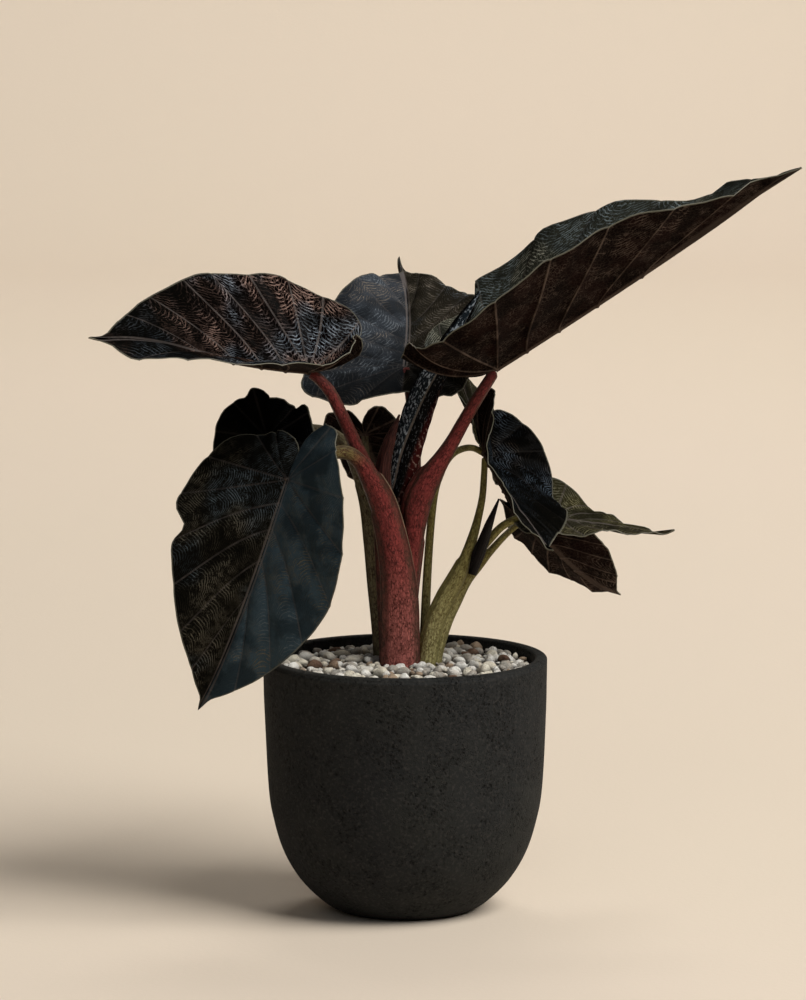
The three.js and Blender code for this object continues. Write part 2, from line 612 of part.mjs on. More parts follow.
function stalkShell(stalk, grown) {
  const steps = STALK_STEPS;
  const depth = new THREE.Vector3(0, 1, 0);
  const points = [];
  const faces = [];
  for (let i = 0; i <= steps; i += 1) {
    const share = i / steps;
    const here = new THREE.Vector3(...smoothPoint(stalk.path, share));
    const before = new THREE.Vector3(...smoothPoint(stalk.path, share - STALK_SLOPE_REACH));
    const after = new THREE.Vector3(...smoothPoint(stalk.path, share + STALK_SLOPE_REACH));
    const along = after.sub(before).normalize();
    const deep = depth.clone().addScaledVector(along, -depth.dot(along)).normalize();
    const across = new THREE.Vector3().crossVectors(deep, along);
    const stations = stalk.path.map((_, k) => k / (stalk.path.length - 1));
    const halfAcross = readBetween(stations, stalk.halfAcross, share) + grown;
    const halfDeep = readBetween(stations, stalk.halfDeep, share) + grown;
    const end = i === 0 ? -grown : i === steps ? grown : 0;
    here.addScaledVector(along, end);
    for (let k = 0; k < STALK_SIDES; k += 1) {
      const turn = (2 * Math.PI * (k + 0.5)) / STALK_SIDES;
      points.push(here.clone()
        .addScaledVector(across, halfAcross * Math.cos(turn))
        .addScaledVector(deep, halfDeep * Math.sin(turn)));
    }
  }
  for (let i = 0; i < steps; i += 1) {
    for (let k = 0; k < STALK_SIDES; k += 1) {
      const a = i * STALK_SIDES + k;
      const b = i * STALK_SIDES + ((k + 1) % STALK_SIDES);
      faces.push([a, b + STALK_SIDES, b], [a, a + STALK_SIDES, b + STALK_SIDES]);
    }
  }
  const top = steps * STALK_SIDES;
  for (let k = 1; k < STALK_SIDES - 1; k += 1) {
    faces.push([0, k, k + 1], [top, top + k + 1, top + k]);
  }
  const shell = { points, faces };
  if (shellVolume(shell) < 0) shell.faces = faces.map(([a, b, c]) => [a, c, b]);
  return shell;
}

// A stalk hollowed by the ones before it and stopped just under its blade
function cutStalk(name) {
  const stalk = STALKS[name];
  let solid = shellManifold(stalkShell(stalk, 0));
  for (const earlier of Object.keys(STALKS)) {
    if (earlier === name) break;
    solid = solid.subtract(shellManifold(stalkShell(STALKS[earlier], FIT_GAP)));
  }
  if (stalk.blade) {
    const spread = thickened(bladeSheet(LEAVES[stalk.blade]), BLADE_THICKNESS + 2 * FIT_GAP);
    solid = solid.subtract(shellManifold(spread));
  }
  return largestPiece(manifoldShell(solid));
}

// Pot, mix and topping

// A closed turned solid from radius and height pairs that start and end on the axis
function turnedShell(profile, sides) {
  const points = [];
  const faces = [];
  const rings = profile.map(([radius, height]) => {
    const first = points.length;
    const count = radius > 0 ? sides : 1;
    for (let k = 0; k < count; k += 1) {
      const turn = (2 * Math.PI * k) / sides;
      points.push(new THREE.Vector3(radius * Math.cos(turn), radius * Math.sin(turn), height));
    }
    return { first, count };
  });
  for (let i = 0; i < rings.length - 1; i += 1) {
    const low = rings[i];
    const high = rings[i + 1];
    for (let k = 0; k < sides; k += 1) {
      const next = (k + 1) % sides;
      const a = low.first + (low.count > 1 ? k : 0);
      const b = low.first + (low.count > 1 ? next : 0);
      const c = high.first + (high.count > 1 ? next : 0);
      const d = high.first + (high.count > 1 ? k : 0);
      if (low.count > 1) faces.push([a, b, c]);
      if (high.count > 1) faces.push([a, c, d]);
    }
  }
  const shell = { points, faces };
  if (shellVolume(shell) < 0) shell.faces = faces.map(([a, b, c]) => [a, c, b]);
  return shell;
}

// Inner radius of the pot at a height
function innerRadius(height) {
  const heights = POT_WALL_POINTS.map(([, z]) => z);
  const radii = POT_WALL_POINTS.map(([r]) => r - POT_WALL);
  return readBetween(heights, radii, height);
}

function potShell() {
  const outer = POT_WALL_POINTS;
  const rim = [
    [POT_RIM_RADIUS, POT_HEIGHT - POT_LIP],
    [POT_RIM_RADIUS - POT_LIP, POT_HEIGHT],
    [POT_RIM_RADIUS - POT_WALL + POT_LIP, POT_HEIGHT],
    [POT_RIM_RADIUS - POT_WALL, POT_HEIGHT - POT_LIP],
  ];
  const inner = outer
    .filter(([, z]) => z > POT_FLOOR + FLOOR_ROUNDING)
    .map(([, z]) => [innerRadius(z), z])
    .reverse();
  const floor = [[innerRadius(POT_FLOOR) - FLOOR_INSET, POT_FLOOR], [0, POT_FLOOR]];
  return turnedShell([[0, 0], ...outer, ...rim, ...inner, ...floor], POT_SIDES);
}

function mixShell() {
  const top = TOPPING_LEVEL - TOPPING_DEPTH;
  const wall = POT_WALL_POINTS
    .filter(([, z]) => z > POT_FLOOR + FLOOR_ROUNDING && z < top)
    .map(([, z]) => [innerRadius(z) - FIT_GAP, z]);
  const bottom = [innerRadius(POT_FLOOR) - FLOOR_INSET - FIT_GAP, POT_FLOOR + FIT_GAP];
  return turnedShell([[0, POT_FLOOR + FIT_GAP], bottom, ...wall,
    [innerRadius(top) - FIT_GAP, top], [0, top]], POT_SIDES / 2);
}

// A block in any position, stretched, with each corner moved in or out
function pebbleShell(place, size, random) {
  const block = new THREE.BoxGeometry(PEBBLE_BLOCK, PEBBLE_BLOCK, PEBBLE_BLOCK).toNonIndexed();
  const position = block.getAttribute("position");
  const turn = new THREE.Euler(...[0, 1, 2].map(() => 2 * Math.PI * random()));
  const stretch = new THREE.Vector3(...PEBBLE_STRETCH.least.map(
    (least, axis) => least + PEBBLE_STRETCH.spread[axis] * random()));
  const known = new Map();
  const points = [];
  const faces = [];
  for (let i = 0; i < position.count; i += 1) {
    const corner = new THREE.Vector3().fromBufferAttribute(position, i);
    const key = corner.toArray().map((value) => value.toFixed(3)).join(" ");
    if (!known.has(key)) {
      known.set(key, points.length);
      const bump = PEBBLE_BUMP.least + PEBBLE_BUMP.spread * random();
      points.push(corner.multiply(stretch).multiplyScalar(size * bump).applyEuler(turn).add(place));
    }
    if (i % 3 === 0) faces.push([]);
    faces[faces.length - 1].push(known.get(key));
  }
  return { points, faces };
}

// Pumice pebbles laid on a sunflower spiral and sunk into a domed bed
function toppingShell() {
  const random = seededRandom(PEBBLE_SEED);
  const reach = innerRadius(TOPPING_LEVEL) - FIT_GAP;
  const foot = TOPPING_LEVEL - TOPPING_DEPTH + FIT_GAP;
  const level = (share) => TOPPING_LEVEL + TOPPING_DOME * (1 - share * share);
  const dome = BED_RING_SHARES.map((share) => [reach * share, level(share)]);
  const edge = [[reach, foot], [reach, TOPPING_LEVEL - BED_EDGE_DROP]];
  const bed = turnedShell([[0, foot], ...edge, ...dome, [0, level(0)]], POT_SIDES);
  let solid = shellManifold(bed);
  const golden = Math.PI * (3 - Math.sqrt(5));
  for (let i = 0; i < PEBBLE_COUNT; i += 1) {
    const size = PEBBLE_SIZE.smallest
      + (PEBBLE_SIZE.largest - PEBBLE_SIZE.smallest) * random();
    const radius = (reach - size * PEBBLE_WALL_ROOM) * Math.sqrt((i + 0.5) / PEBBLE_COUNT);
    const turn = i * golden + random() * PEBBLE_TURN_SPREAD;
    const height = level(radius / reach) - size * PEBBLE_SUNK;
    const place = new THREE.Vector3(radius * Math.cos(turn), radius * Math.sin(turn), height);
    solid = solid.add(shellManifold(pebbleShell(place, size, random)));
  }
  return solid;
}

// A body in the pot with plain holes for every stalk that enters it
function holedBody(solid) {
  let holed = solid;
  for (const stalk of Object.values(STALKS)) {
    if (stalk.path[0][2] > ROOT_LEVEL) continue;
    holed = holed.subtract(shellManifold(stalkShell(stalk, FIT_GAP)));
  }
  return largestPiece(manifoldShell(holed));
}

// Assembly

function pieceMesh(name, shell, look) {
  const geometry = new THREE.BufferGeometry();
  const flat = shell.points.flatMap((p) => [p.x, p.y, p.z]);
  geometry.setAttribute("position", new THREE.Float32BufferAttribute(flat, 3));
  geometry.setIndex(shell.faces.flat());
  geometry.computeVertexNormals();
  const { colour, roughness } = COLOURS[look];
  const material = new THREE.MeshStandardMaterial({ color: colour, roughness, metalness: 0 });
  const mesh = new THREE.Mesh(geometry, material);
  mesh.name = name;
  return mesh;
}

const group = new THREE.Group();
group.name = "potted_alocasia";
group.add(pieceMesh("pot", potShell(), "pot"));
group.add(pieceMesh("potting_mix", holedBody(shellManifold(mixShell())), "mix"));
group.add(pieceMesh("pumice_topping", holedBody(toppingShell()), "pumice"));
for (const [name, leaf] of Object.entries(LEAVES)) {
  const blade = thickened(bladeSheet(leaf), BLADE_THICKNESS);
  group.add(pieceMesh(`blade_${name}`, blade, leaf.look));
}
for (const [name, stalk] of Object.entries(STALKS)) {
  const title = stalk.blade ? `stalk_${name}` : name;
  group.add(pieceMesh(title, cutStalk(name), stalk.look));
}

export default group;
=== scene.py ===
"""A potted velvet alocasia: dark veined leaves on mottled stalks, in a charcoal pot.

Lengths in the tables are millimetres and angles are degrees. +Z is up, +X is to the right of the
photo, +Y is away from its viewer, and the origin is the middle of the pot's foot.
"""

import math

import bmesh
import bpy
import numpy as np
from bpy.props import FloatProperty, FloatVectorProperty, IntProperty, PointerProperty
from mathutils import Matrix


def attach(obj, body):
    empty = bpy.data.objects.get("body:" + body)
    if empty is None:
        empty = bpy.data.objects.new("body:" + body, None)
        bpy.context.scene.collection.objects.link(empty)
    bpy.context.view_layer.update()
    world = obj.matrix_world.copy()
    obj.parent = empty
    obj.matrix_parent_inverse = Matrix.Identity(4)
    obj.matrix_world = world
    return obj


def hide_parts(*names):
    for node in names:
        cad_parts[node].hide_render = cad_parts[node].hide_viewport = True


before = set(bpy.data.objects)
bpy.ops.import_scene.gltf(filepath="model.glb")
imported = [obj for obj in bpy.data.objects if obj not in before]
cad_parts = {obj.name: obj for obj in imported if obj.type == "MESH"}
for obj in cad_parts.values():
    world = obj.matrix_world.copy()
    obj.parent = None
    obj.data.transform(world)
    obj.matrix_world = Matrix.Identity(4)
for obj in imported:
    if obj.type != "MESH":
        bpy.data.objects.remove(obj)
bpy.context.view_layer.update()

bl_info = {
    "name": "Potted velvet alocasia",
    "version": (1, 0, 0),
    "blender": (4, 5, 0),
    "location": "3D View > Sidebar > Alocasia",
    "description": "Builds a potted velvet alocasia around its solid model",
    "category": "Object",
}

MM = 0.001
PHOTO_HEIGHT = 1000

# Sizes shared with the solid model

POT_HEIGHT = 134.3
POT_RIM_RADIUS = 74.7
POT_WALL = 6.6
POT_FLOOR = 9
TOPPING_LEVEL = 128.6
TOPPING_DOME = 2.2
ROOT_LEVEL = 109

# Outer wall of the pot as radius and height, from the foot up
POT_WALL_POINTS = [
    (35, 0), (43.5, 4.6), (55, 16), (63.6, 30.5), (68.8, 47), (71.8, 65), (74, 105),
]

# Half of the flat leaf outline from the notch, round the basal lobe, to the tip, as shares of the
# length from stalk to tip: along the midrib, then sideways
HALF_OUTLINE = [
    (-0.12, 0), (-0.215, 0.03), (-0.29, 0.11), (-0.275, 0.22), (-0.16, 0.325), (0.03, 0.385),
    (0.22, 0.38), (0.41, 0.335), (0.58, 0.265), (0.74, 0.175), (0.87, 0.08), (0.945, 0.022),
    (1, 0),
]
WIDEST_HALF = max(aside for _, aside in HALF_OUTLINE)
LAST_STALK_VEIN = 0.2
VEIN_SLANT = 0.38
FOLD_STATIONS = (-0.25, 0.25, 0.9)
GAPE_POINTS = 3
LOBE_REACH = 0.35
LOBE_DROOP_REACH = 0.3
FLATTEST_CURL = 1e-4
NOTCH_QUIET = 1 / 6
TIP_QUIET = 0.2
RUFFLE_QUIET = 0.06
RUFFLE_LIFT = 3
RUFFLE_SWELL = 4
CRINKLE_SIZE = 0.16
CRINKLE_COUNT = 3.7

# Gaps between the side veins along the outline, from the lobe's vein to the tip
SECOND_LOBE_VEIN_GAP = 0.107
FIRST_SIDE_VEIN_GAP = 0.088
SIDE_VEIN_GAP = 1 / 12

# Fine shape of a blade: how far a side vein bows forward as a share of the length, how far a
# ladder line bows as a share of its gap, the height and narrowness of the swelling between two
# veins, the share of a ridge that shows above, and widths in millimetres
VEIN_BOW = 0.05
LADDER_BOW = 0.3
PLEAT_ARCH = 0.45
PLEAT_ARCH_POWER = 1.3
PLEAT_SWELL = 0.85
RIDGE_ABOVE = 0.1
VEIN_DIP_WIDTH = 2.6
VEIN_WIDTH = 0.75
MIDRIB_WIDTH = 1.35
DRIP_STEPS = 12
DRIP_START = 0.9
MERGE_STEPS_PER_MM = 2000


def half(width, lobe_fold, fold, tip_fold, curl):
    """One half of a leaf: its width factor, its fold up at lobe, middle and tip, and its curl."""
    return {"width": width, "folds": (lobe_fold, fold, tip_fold), "curl": curl}


# joint: where the stalk meets the blade. set_out: azimuth, rise and roll of the midrib there.
# course: bend, extra tip bend, sweep and twist over the length. wave: height, count and phase of
# the ripples along the margin. pleat: height of the blade between its side veins.
# drip: length of the thin point and the angle that it curls through, down if above zero.
# ruffles: half (1 is left), place and width along the margin, then lift and outward swell in mm.
LEAVES = {
    "top_right": {
        "joint": (47.7, 0, 286), "length": 193, "set_out": (-13, 33, -2),
        "course": (-2, 0, -12, -6), "lobe_droop": -75, "notch": 0.05, "gape": 0.035,
        "left": half(1.06, 30, 37, 34, 8), "right": half(1, 14, 12, 25, 16),
        "wave": (2.6, 5, 0.6), "pleat": 1.7, "drip": (5, 40), "look": "mossy_top",
        "ruffles": [
            (1, 0.44, 0.03, -5, 0), (1, 0.51, 0.03, 5, 0), (1, 0.7, 0.06, -8, 0),
            (1, 0.8, 0.05, -3, 0), (-1, 0.08, 0.06, 6, 0), (-1, 0.2, 0.06, 0, -6),
            (-1, 0.45, 0.045, -8, 0), (-1, 0.565, 0.02, 5, 0), (-1, 0.82, 0.05, -5, 0),
        ],
    },
    "top_left": {
        "joint": (-50.6, -5, 285), "length": 142, "set_out": (211, 7, -21),
        "course": (-28, 34, 15, -11), "lobe_droop": -28, "notch": 0.03, "gape": 0,
        "left": half(1, 25, 29, 12, 0), "right": half(1, 35, 38, 38, -4),
        "wave": (1.8, 5, 1.2), "pleat": 1.1, "drip": (7, -60), "look": "russet_top",
        "ruffles": [
            (1, 0.1, 0.05, 3, -8), (1, 0.26, 0.16, 19, -22), (1, 0.69, 0.06, 4, 0),
            (1, 0.82, 0.08, -6, 0), (-1, 0.1, 0.07, 5, -5), (-1, 0.5, 0.05, 0, -1.5),
            (-1, 0.73, 0.08, 0, -1.5), (-1, 0.87, 0.03, 0, 1),
        ],
    },
    "top_back": {
        "joint": (0, 49, 281.5), "length": 119, "set_out": (85, 28, -2),
        "course": (17, -4, 12, 21), "lobe_droop": 3, "notch": 0.2, "gape": 0.01,
        "left": half(1.2, -1, 2, 4, -6), "right": half(1, 0, 14, 20, 0),
        "wave": (2.2, 5, 2.4), "pleat": 1.2, "drip": (7, -70), "look": "stormy_sheen_top",
        "ruffles": [
            (1, 0.2, 0.06, 0, -5), (1, 0.34, 0.04, 0, 5), (1, 0.9, 0.05, 0, -5),
            (-1, 0.2, 0.08, 0, -4), (-1, 0.33, 0.06, 0, -5), (-1, 0.82, 0.06, 0, -2),
        ],
    },
    "front_left": {
        "joint": (-60.5, -40, 232.6), "length": 132, "set_out": (209, -69, -18),
        "course": (22, 5, -19, -46), "lobe_droop": 20, "notch": 0.12, "gape": 0,
        "left": half(1.03, 20, 6, 5, -6), "right": half(1.06, 3, 16, 13, -4),
        "wave": (1.6, 6, 0), "pleat": 1.2, "drip": (2, 20), "look": "sheen_half_top",
        "ruffles": [
            (1, 0.2, 0.1, 0, -8), (1, 0.31, 0.05, 0, -7), (1, 0.43, 0.07, 0, -4),
            (-1, 0.19, 0.13, -3, -18), (-1, 0.3, 0.05, 0, -6), (-1, 0.5, 0.03, 2, 1),
            (-1, 0.545, 0.02, 0, -6),
        ],
    },
    "back_left": {
        "joint": (-71.5, -5, 249.9), "length": 84, "set_out": (226, -76, -9),
        "course": (10, 0, 0, 0), "lobe_droop": 10, "notch": 0.13, "gape": 0.01,
        "left": half(1, 4, 4, 10, 0), "right": half(1, 5, 5, 10, 0),
        "wave": (2, 6, 1), "pleat": 0.8, "drip": (3, 30), "look": "black_top",
        "ruffles": [
            (1, 0.07, 0.05, 3.5, 7), (1, 0.18, 0.07, 2, -6), (1, 0.24, 0.03, 0, -4),
            (-1, 0.1, 0.06, -2, 0), (-1, 0.26, 0.03, 0, -3),
        ],
    },
    "back_low": {
        "joint": (-21.3, 36, 247), "length": 64, "set_out": (72, -47, 0),
        "course": (8, 0, 0, 0), "lobe_droop": -11, "notch": 0.12, "gape": 0.01,
        "left": half(1, 5, 8, 10, 0), "right": half(1, 5, 8, 10, 0),
        "wave": (1.6, 5, 2), "pleat": 0.7, "drip": (3, 30), "look": "black_top",
        "ruffles": [
            (1, 0.2, 0.08, 0, -5),
        ],
    },
    "shoot_glossy": {
        "joint": (42, 24, 238), "length": 92, "set_out": (-66, -35, -13),
        "course": (-16, 0, -5, 6), "lobe_droop": -1, "notch": 0.1, "gape": 0,
        "left": half(0.98, 30, -6, 2, -4), "right": half(0.85, 88, 42, 30, 14),
        "wave": (1.4, 5, 0.4), "pleat": 0.9, "drip": (5, -70), "look": "glossy_top",
        "ruffles": [
            (1, 0.48, 0.03, 0, 2), (1, 0.62, 0.09, 0, 4), (-1, 0.22, 0.1, 0, 8),
        ],
    },
    "shoot_upright": {
        "joint": (43.7, 58, 232.5), "length": 64, "set_out": (129, 57, 20),
        "course": (-1, 0, 1, 1), "lobe_droop": 0, "notch": 0.1, "gape": 0.01,
        "left": half(0.35, 20, 16, 15, 0), "right": half(0.8, 20, 16, 14, 0),
        "wave": (1.4, 5, 1.7), "pleat": 0.6, "drip": (2, 30), "look": "olive_top",
        "ruffles": [],
    },
    "shoot_pointing": {
        "joint": (78, 22, 203.5), "length": 61, "set_out": (-19, -3, 20),
        "course": (6, 0, 4, -26), "lobe_droop": 10, "notch": 0.12, "gape": 0.01,
        "left": half(1.02, 36, -6, -8, 0), "right": half(1, 10, 5, -2, -2),
        "wave": (1.3, 5, 0.9), "pleat": 0.6, "drip": (6, -70), "look": "olive_top",
        "ruffles": [
            (1, 0.3, 0.1, 0, 7), (-1, 0.7, 0.05, 0, -2), (-1, 0.85, 0.05, 0, 3),
        ],
    },
    "shoot_hanging": {
        "joint": (67.8, 60, 196.8), "length": 82, "set_out": (22, -51, -34),
        "course": (-40, -6, 12, -4), "lobe_droop": 8, "notch": 0.12, "gape": 0.01,
        "left": half(1.05, 28, 20, 12, 7), "right": half(0.88, -25, 4, 14, 0),
        "wave": (1.2, 5, 2.2), "pleat": 0.7, "drip": (2, 20), "look": "black_top",
        "ruffles": [
            (1, 0.2, 0.12, 0, -12), (1, 0.4, 0.06, 0, -2), (1, 0.8, 0.08, 0, 4),
        ],
    },
}

# Each stalk runs from the roots up. across and deep are its half sizes to the right and to the
# back. fins are the sheath's thin edges: direction round the stalk, 0 to the right and 90 to the
# back, the height where each starts and ends, and how far it stands out.
STALKS = {
    "front_left": {
        "path": [(-3, -8, ROOT_LEVEL), (-3, -8, 133), (-3, -9, 165), (-5, -10, 186),
                 (-9, -12, 206), (-13, -14, 219), (-18, -18, 230), (-23, -22, 239),
                 (-30, -27, 245), (-39, -31, 245), (-49, -36, 241), (-60.5, -40, 232.6)],
        "across": [10.6, 10.4, 9.4, 8, 6.9, 6.6, 5.4, 4.2, 3.6, 3.3, 3, 2.8],
        "deep": [6.5, 6.5, 6, 5.6, 5.2, 4.8, 4.4, 3.8, 3.5, 3.3, 3, 2.8],
        "fins": [(-14, 122, 232, 1.7), (194, 122, 214, 1.2)], "look": "red_stalk",
        "green_from": 0.62,
    },
    "top_right": {
        "path": [(0, 3, ROOT_LEVEL), (0, 3, 137), (1, 3, 163), (3, 2, 185), (4.5, 1, 201),
                 (7, 0, 216), (12.5, 0, 228), (19.5, 0, 239), (25, 0, 248), (31, -1, 259),
                 (38, -2, 271), (47.7, 0, 286)],
        "across": [5, 5, 5.2, 5.4, 6, 7.2, 6.4, 4.4, 3.7, 3.4, 3.1, 2.8],
        "deep": [4.6, 4.6, 4.6, 4.6, 4.6, 4.6, 4.4, 4, 3.6, 3.3, 3.1, 2.8],
        "fins": [(176, 150, 231, 1.9), (10, 130, 196, 1)], "look": "red_stalk",
    },
    "top_left": {
        "path": [(-9, 3, ROOT_LEVEL), (-9, 3, 137), (-11, 2, 185), (-13, 0, 215),
                 (-17, -2, 228), (-23, -4, 240), (-28, -5, 251), (-33, -6, 262), (-39, -6, 274),
                 (-45, -6, 281), (-50.6, -5, 285)],
        "across": [4.5, 4.5, 4.4, 4.2, 4, 3.7, 3.5, 3.3, 3.1, 2.9, 2.7],
        "deep": [4.4, 4.4, 4.4, 4.2, 4, 3.7, 3.5, 3.3, 3.1, 2.9, 2.7],
        "fins": [(200, 130, 212, 1)], "look": "red_stalk",
    },
    "top_back": {
        "path": [(3, 21, ROOT_LEVEL), (3, 21, 136), (4, 20, 181), (5, 19, 215), (5, 20, 243),
                 (3, 34, 266), (0, 49, 281.5)],
        "across": [3.6, 3.6, 3.4, 3.2, 3, 2.9, 2.7],
        "deep": [3.6, 3.6, 3.4, 3.2, 3, 2.9, 2.7],
        "fins": [], "look": "red_stalk",
    },
    "back_left": {
        "path": [(-11, 12, ROOT_LEVEL), (-11, 12, 138), (-14, 12, 172), (-16, 12, 194),
                 (-19, 11, 215), (-24, 9, 231), (-30, 7, 243), (-37, 4, 250), (-45, 2, 253),
                 (-58, -2, 254), (-71.5, -5, 249.9)],
        "across": [6.2, 6.2, 6.2, 6, 5.2, 4.4, 3.6, 3.2, 3, 2.8, 2.6],
        "deep": [4.6, 4.6, 4.6, 4.4, 4.2, 3.8, 3.4, 3.2, 3, 2.8, 2.6],
        "fins": [(204, 130, 226, 0.9)], "look": "dusky_stalk",
    },
    "back_low": {
        "path": [(-4, 22, ROOT_LEVEL), (-4, 22, 136), (-11, 26, 181), (-19, 32, 218),
                 (-21, 35, 239), (-21.3, 36, 247)],
        "across": [3, 3, 2.6, 2.2, 1.9, 1.8],
        "deep": [3, 3, 2.6, 2.2, 1.9, 1.8],
        "fins": [], "look": "dusky_stalk",
    },
    "shoot_glossy": {
        "path": [(11.6, -1, ROOT_LEVEL), (11.6, -1, 132), (15, 0, 150), (21, 1, 164),
                 (27, 2, 175), (31, 4, 184), (35, 6, 195), (38, 11, 205), (40.5, 17, 216),
                 (41.5, 22, 228), (42, 24, 238)],
        "across": [5.4, 5.4, 5, 5, 4.4, 3.2, 2.7, 2.1, 1.8, 1.7, 1.7],
        "deep": [4.6, 4.6, 4.4, 4.2, 3.8, 3, 2.6, 2.1, 1.8, 1.7, 1.7],
        "fins": [(188, 124, 184, 1)], "look": "olive_stalk",
    },
    "shoot_hanging": {
        "path": [(15, 3, ROOT_LEVEL), (15, 3, 131), (20, 4, 150), (26, 6, 163), (31.5, 9, 173),
                 (38, 12, 180), (45, 19, 187), (53, 29, 194), (60, 43, 197.5), (67.8, 60, 196.8)],
        "across": [4.2, 4.2, 4.2, 4, 3.6, 2.8, 2, 1.7, 1.6, 1.6],
        "deep": [4, 4, 4, 3.8, 3.4, 2.6, 2, 1.7, 1.6, 1.6],
        "fins": [], "look": "olive_stalk",
    },
    "shoot_pointing": {
        "path": [(13, 8, ROOT_LEVEL), (13, 8, 133), (17, 8, 152), (23, 9, 164), (30, 11, 175),
                 (37, 14, 185), (44, 17, 193), (51, 19, 200), (59, 20, 204), (68, 21, 206),
                 (78, 22, 203.5)],
        "across": [3.6, 3.6, 3.6, 3.4, 3, 2.4, 2.2, 2.1, 2, 1.9, 1.8],
        "deep": [3.4, 3.4, 3.4, 3.2, 2.8, 2.4, 2.2, 2.1, 2, 1.9, 1.8],
        "fins": [(150, 150, 181, 1.2)], "look": "olive_stalk",
    },
    "shoot_upright": {
        "path": [(10, 16, ROOT_LEVEL), (10, 16, 137), (12, 19, 182), (15, 25, 214),
                 (19, 32, 227), (23.5, 39, 234), (29, 47, 237), (36, 54, 237), (43.7, 58, 232.5)],
        "across": [2.6, 2.6, 2.2, 2, 1.9, 1.8, 1.8, 1.7, 1.7],
        "deep": [2.6, 2.6, 2.2, 2, 1.9, 1.8, 1.8, 1.7, 1.7],
        "fins": [], "look": "olive_stalk",
    },
}

ROLLED_LEAF = {
    "path": [(-1, 12, ROOT_LEVEL), (-2, 12, 135), (-4, 11, 183), (-5, 9, 212), (-2, 9, 226),
             (0, 9, 237), (3, 9, 249), (7, 9, 262), (11, 9, 273), (16, 9, 284), (21, 9.5, 294),
             (30, 11, 310), (39, 12, 325)],
    "across": [4.4, 4.4, 4.4, 4.8, 6.7, 7.8, 8, 8, 7.5, 7, 5.6, 3.6, 0.5],
    "deep": [4.4, 4.4, 4.4, 4.6, 5.6, 6.2, 6.4, 6.2, 5.8, 5, 4.2, 2.8, 0.5],
}

SPEARS = {
    "sheath_spear": {
        "path": [(-7, -1, 180), (-11, -3, 213), (-12, -3, 228), (-11, -3, 238), (-8, -3, 249),
                 (-3, -3, 262)],
        "across": [3, 4.6, 4.2, 3.6, 2.8, 0.4], "deep": [2.4, 3.2, 3.2, 3, 2.4, 0.4],
        "look": "pink_spear",
    },
    "shoot_spike": {
        "path": [(35, 1, 177), (38, 2, 187), (41, 2, 195), (44, 2, 204), (49, 2, 217)],
        "across": [2, 3.2, 2.8, 2, 0.4], "deep": [1.6, 2.2, 2, 1.6, 0.4],
        "look": "black_spear",
    },
}


# Numbers and curves

def smooth_points(points, share):
    """Reads a smooth curve through the points at shares from 0 to 1. share may be any array."""
    table = np.asarray(points, float)
    last = len(table) - 1
    place = np.clip(np.asarray(share, float), 0, 1) * last
    i = np.minimum(place.astype(int), last - 1)
    f = (place - i)[..., None]
    b = table[i]
    c = table[i + 1]
    a = np.where((i > 0)[..., None], table[np.maximum(i - 1, 0)], 2 * b - c)
    d = np.where((i < last - 1)[..., None], table[np.minimum(i + 2, last)], 2 * c - b)
    cubic = 2 * b + (c - a) * f + (2 * a - 5 * b + 4 * c - d) * f ** 2
    return 0.5 * (cubic + (3 * b - a - 3 * c + d) * f ** 3)


def smooth_step(low, high, value):
    """0 below low, 1 above high and an even rise between them."""
    share = np.clip((value - low) / (high - low), 0, 1)
    return share * share * (3 - 2 * share)


def unit(vectors):
    """Vectors of length 1, with none of no length divided."""
    length = np.linalg.norm(vectors, axis=-1, keepdims=True)
    return vectors / np.maximum(length, 1e-12)


def turned(vector, axis, degrees):
    """A vector turned about a unit axis."""
    angle = math.radians(degrees)
    along = axis * np.dot(axis, vector)
    return (along + (vector - along) * math.cos(angle)
            + np.cross(axis, vector) * math.sin(angle))


def bump(offset, width, power=2):
    """1 where the offset is nothing, falling away to both sides over about the width."""
    return np.exp(-(np.abs(offset) / width) ** power)


def directions(count):
    """Evenly spaced directions round a circle."""
    return np.linspace(0, math.tau, count, endpoint=False)


def off_direction(turn, direction):
    """Angles from a direction round a tube, between minus and plus half a turn."""
    return np.angle(np.exp(1j * (turn - direction)))


# Meshes

class Sheet:
    """Points, faces and values at the points, gathered grid by grid."""

    def __init__(self):
        self.points = []
        self.faces = []
        self.looks = []
        self.values = {}
        self.count = 0

    def add(self, points, faces, look=0, **values):
        """Adds points (n, 3) and faces that count from its first point."""
        self.points.append(np.asarray(points, float))
        self.faces.extend([tuple(int(i) + self.count for i in face) for face in faces])
        self.looks.extend([look] * len(faces))
        for name, value in values.items():
            flat = np.broadcast_to(value, len(points)).astype(np.float32)
            self.values.setdefault(name, []).append(flat)
        self.count += len(points)


def grid_faces(rows, columns, round_columns=False, flip=False):
    """Quads of a grid of points laid out row by row."""
    faces = []
    across = columns if round_columns else columns - 1
    for i in range(rows - 1):
        for j in range(across):
            k = (j + 1) % columns
            face = (i * columns + j, i * columns + k, (i + 1) * columns + k, (i + 1) * columns + j)
            faces.append(face[::-1] if flip else face)
    return faces


def make_piece(name, sheet, materials, stands_for=None):
    """Turns a sheet into an object that rides on the one body and may stand for a solid."""
    points = np.concatenate(sheet.points) * MM
    mesh = bpy.data.meshes.new(name)
    mesh.from_pydata(points.tolist(), [], sheet.faces)
    for material in materials:
        mesh.materials.append(material)
    mesh.polygons.foreach_set("material_index", sheet.looks)
    mesh.polygons.foreach_set("use_smooth", [True] * len(sheet.faces))
    for key, parts in sheet.values.items():
        attribute = mesh.attributes.new(key, "FLOAT", "POINT")
        attribute.data.foreach_set("value", np.concatenate(parts))
    mesh.update()
    piece = bpy.data.objects.new(name, mesh)
    bpy.context.scene.collection.objects.link(piece)
    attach(piece, "root")
    if stands_for:
        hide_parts(stands_for)
    return piece


# Material nodes

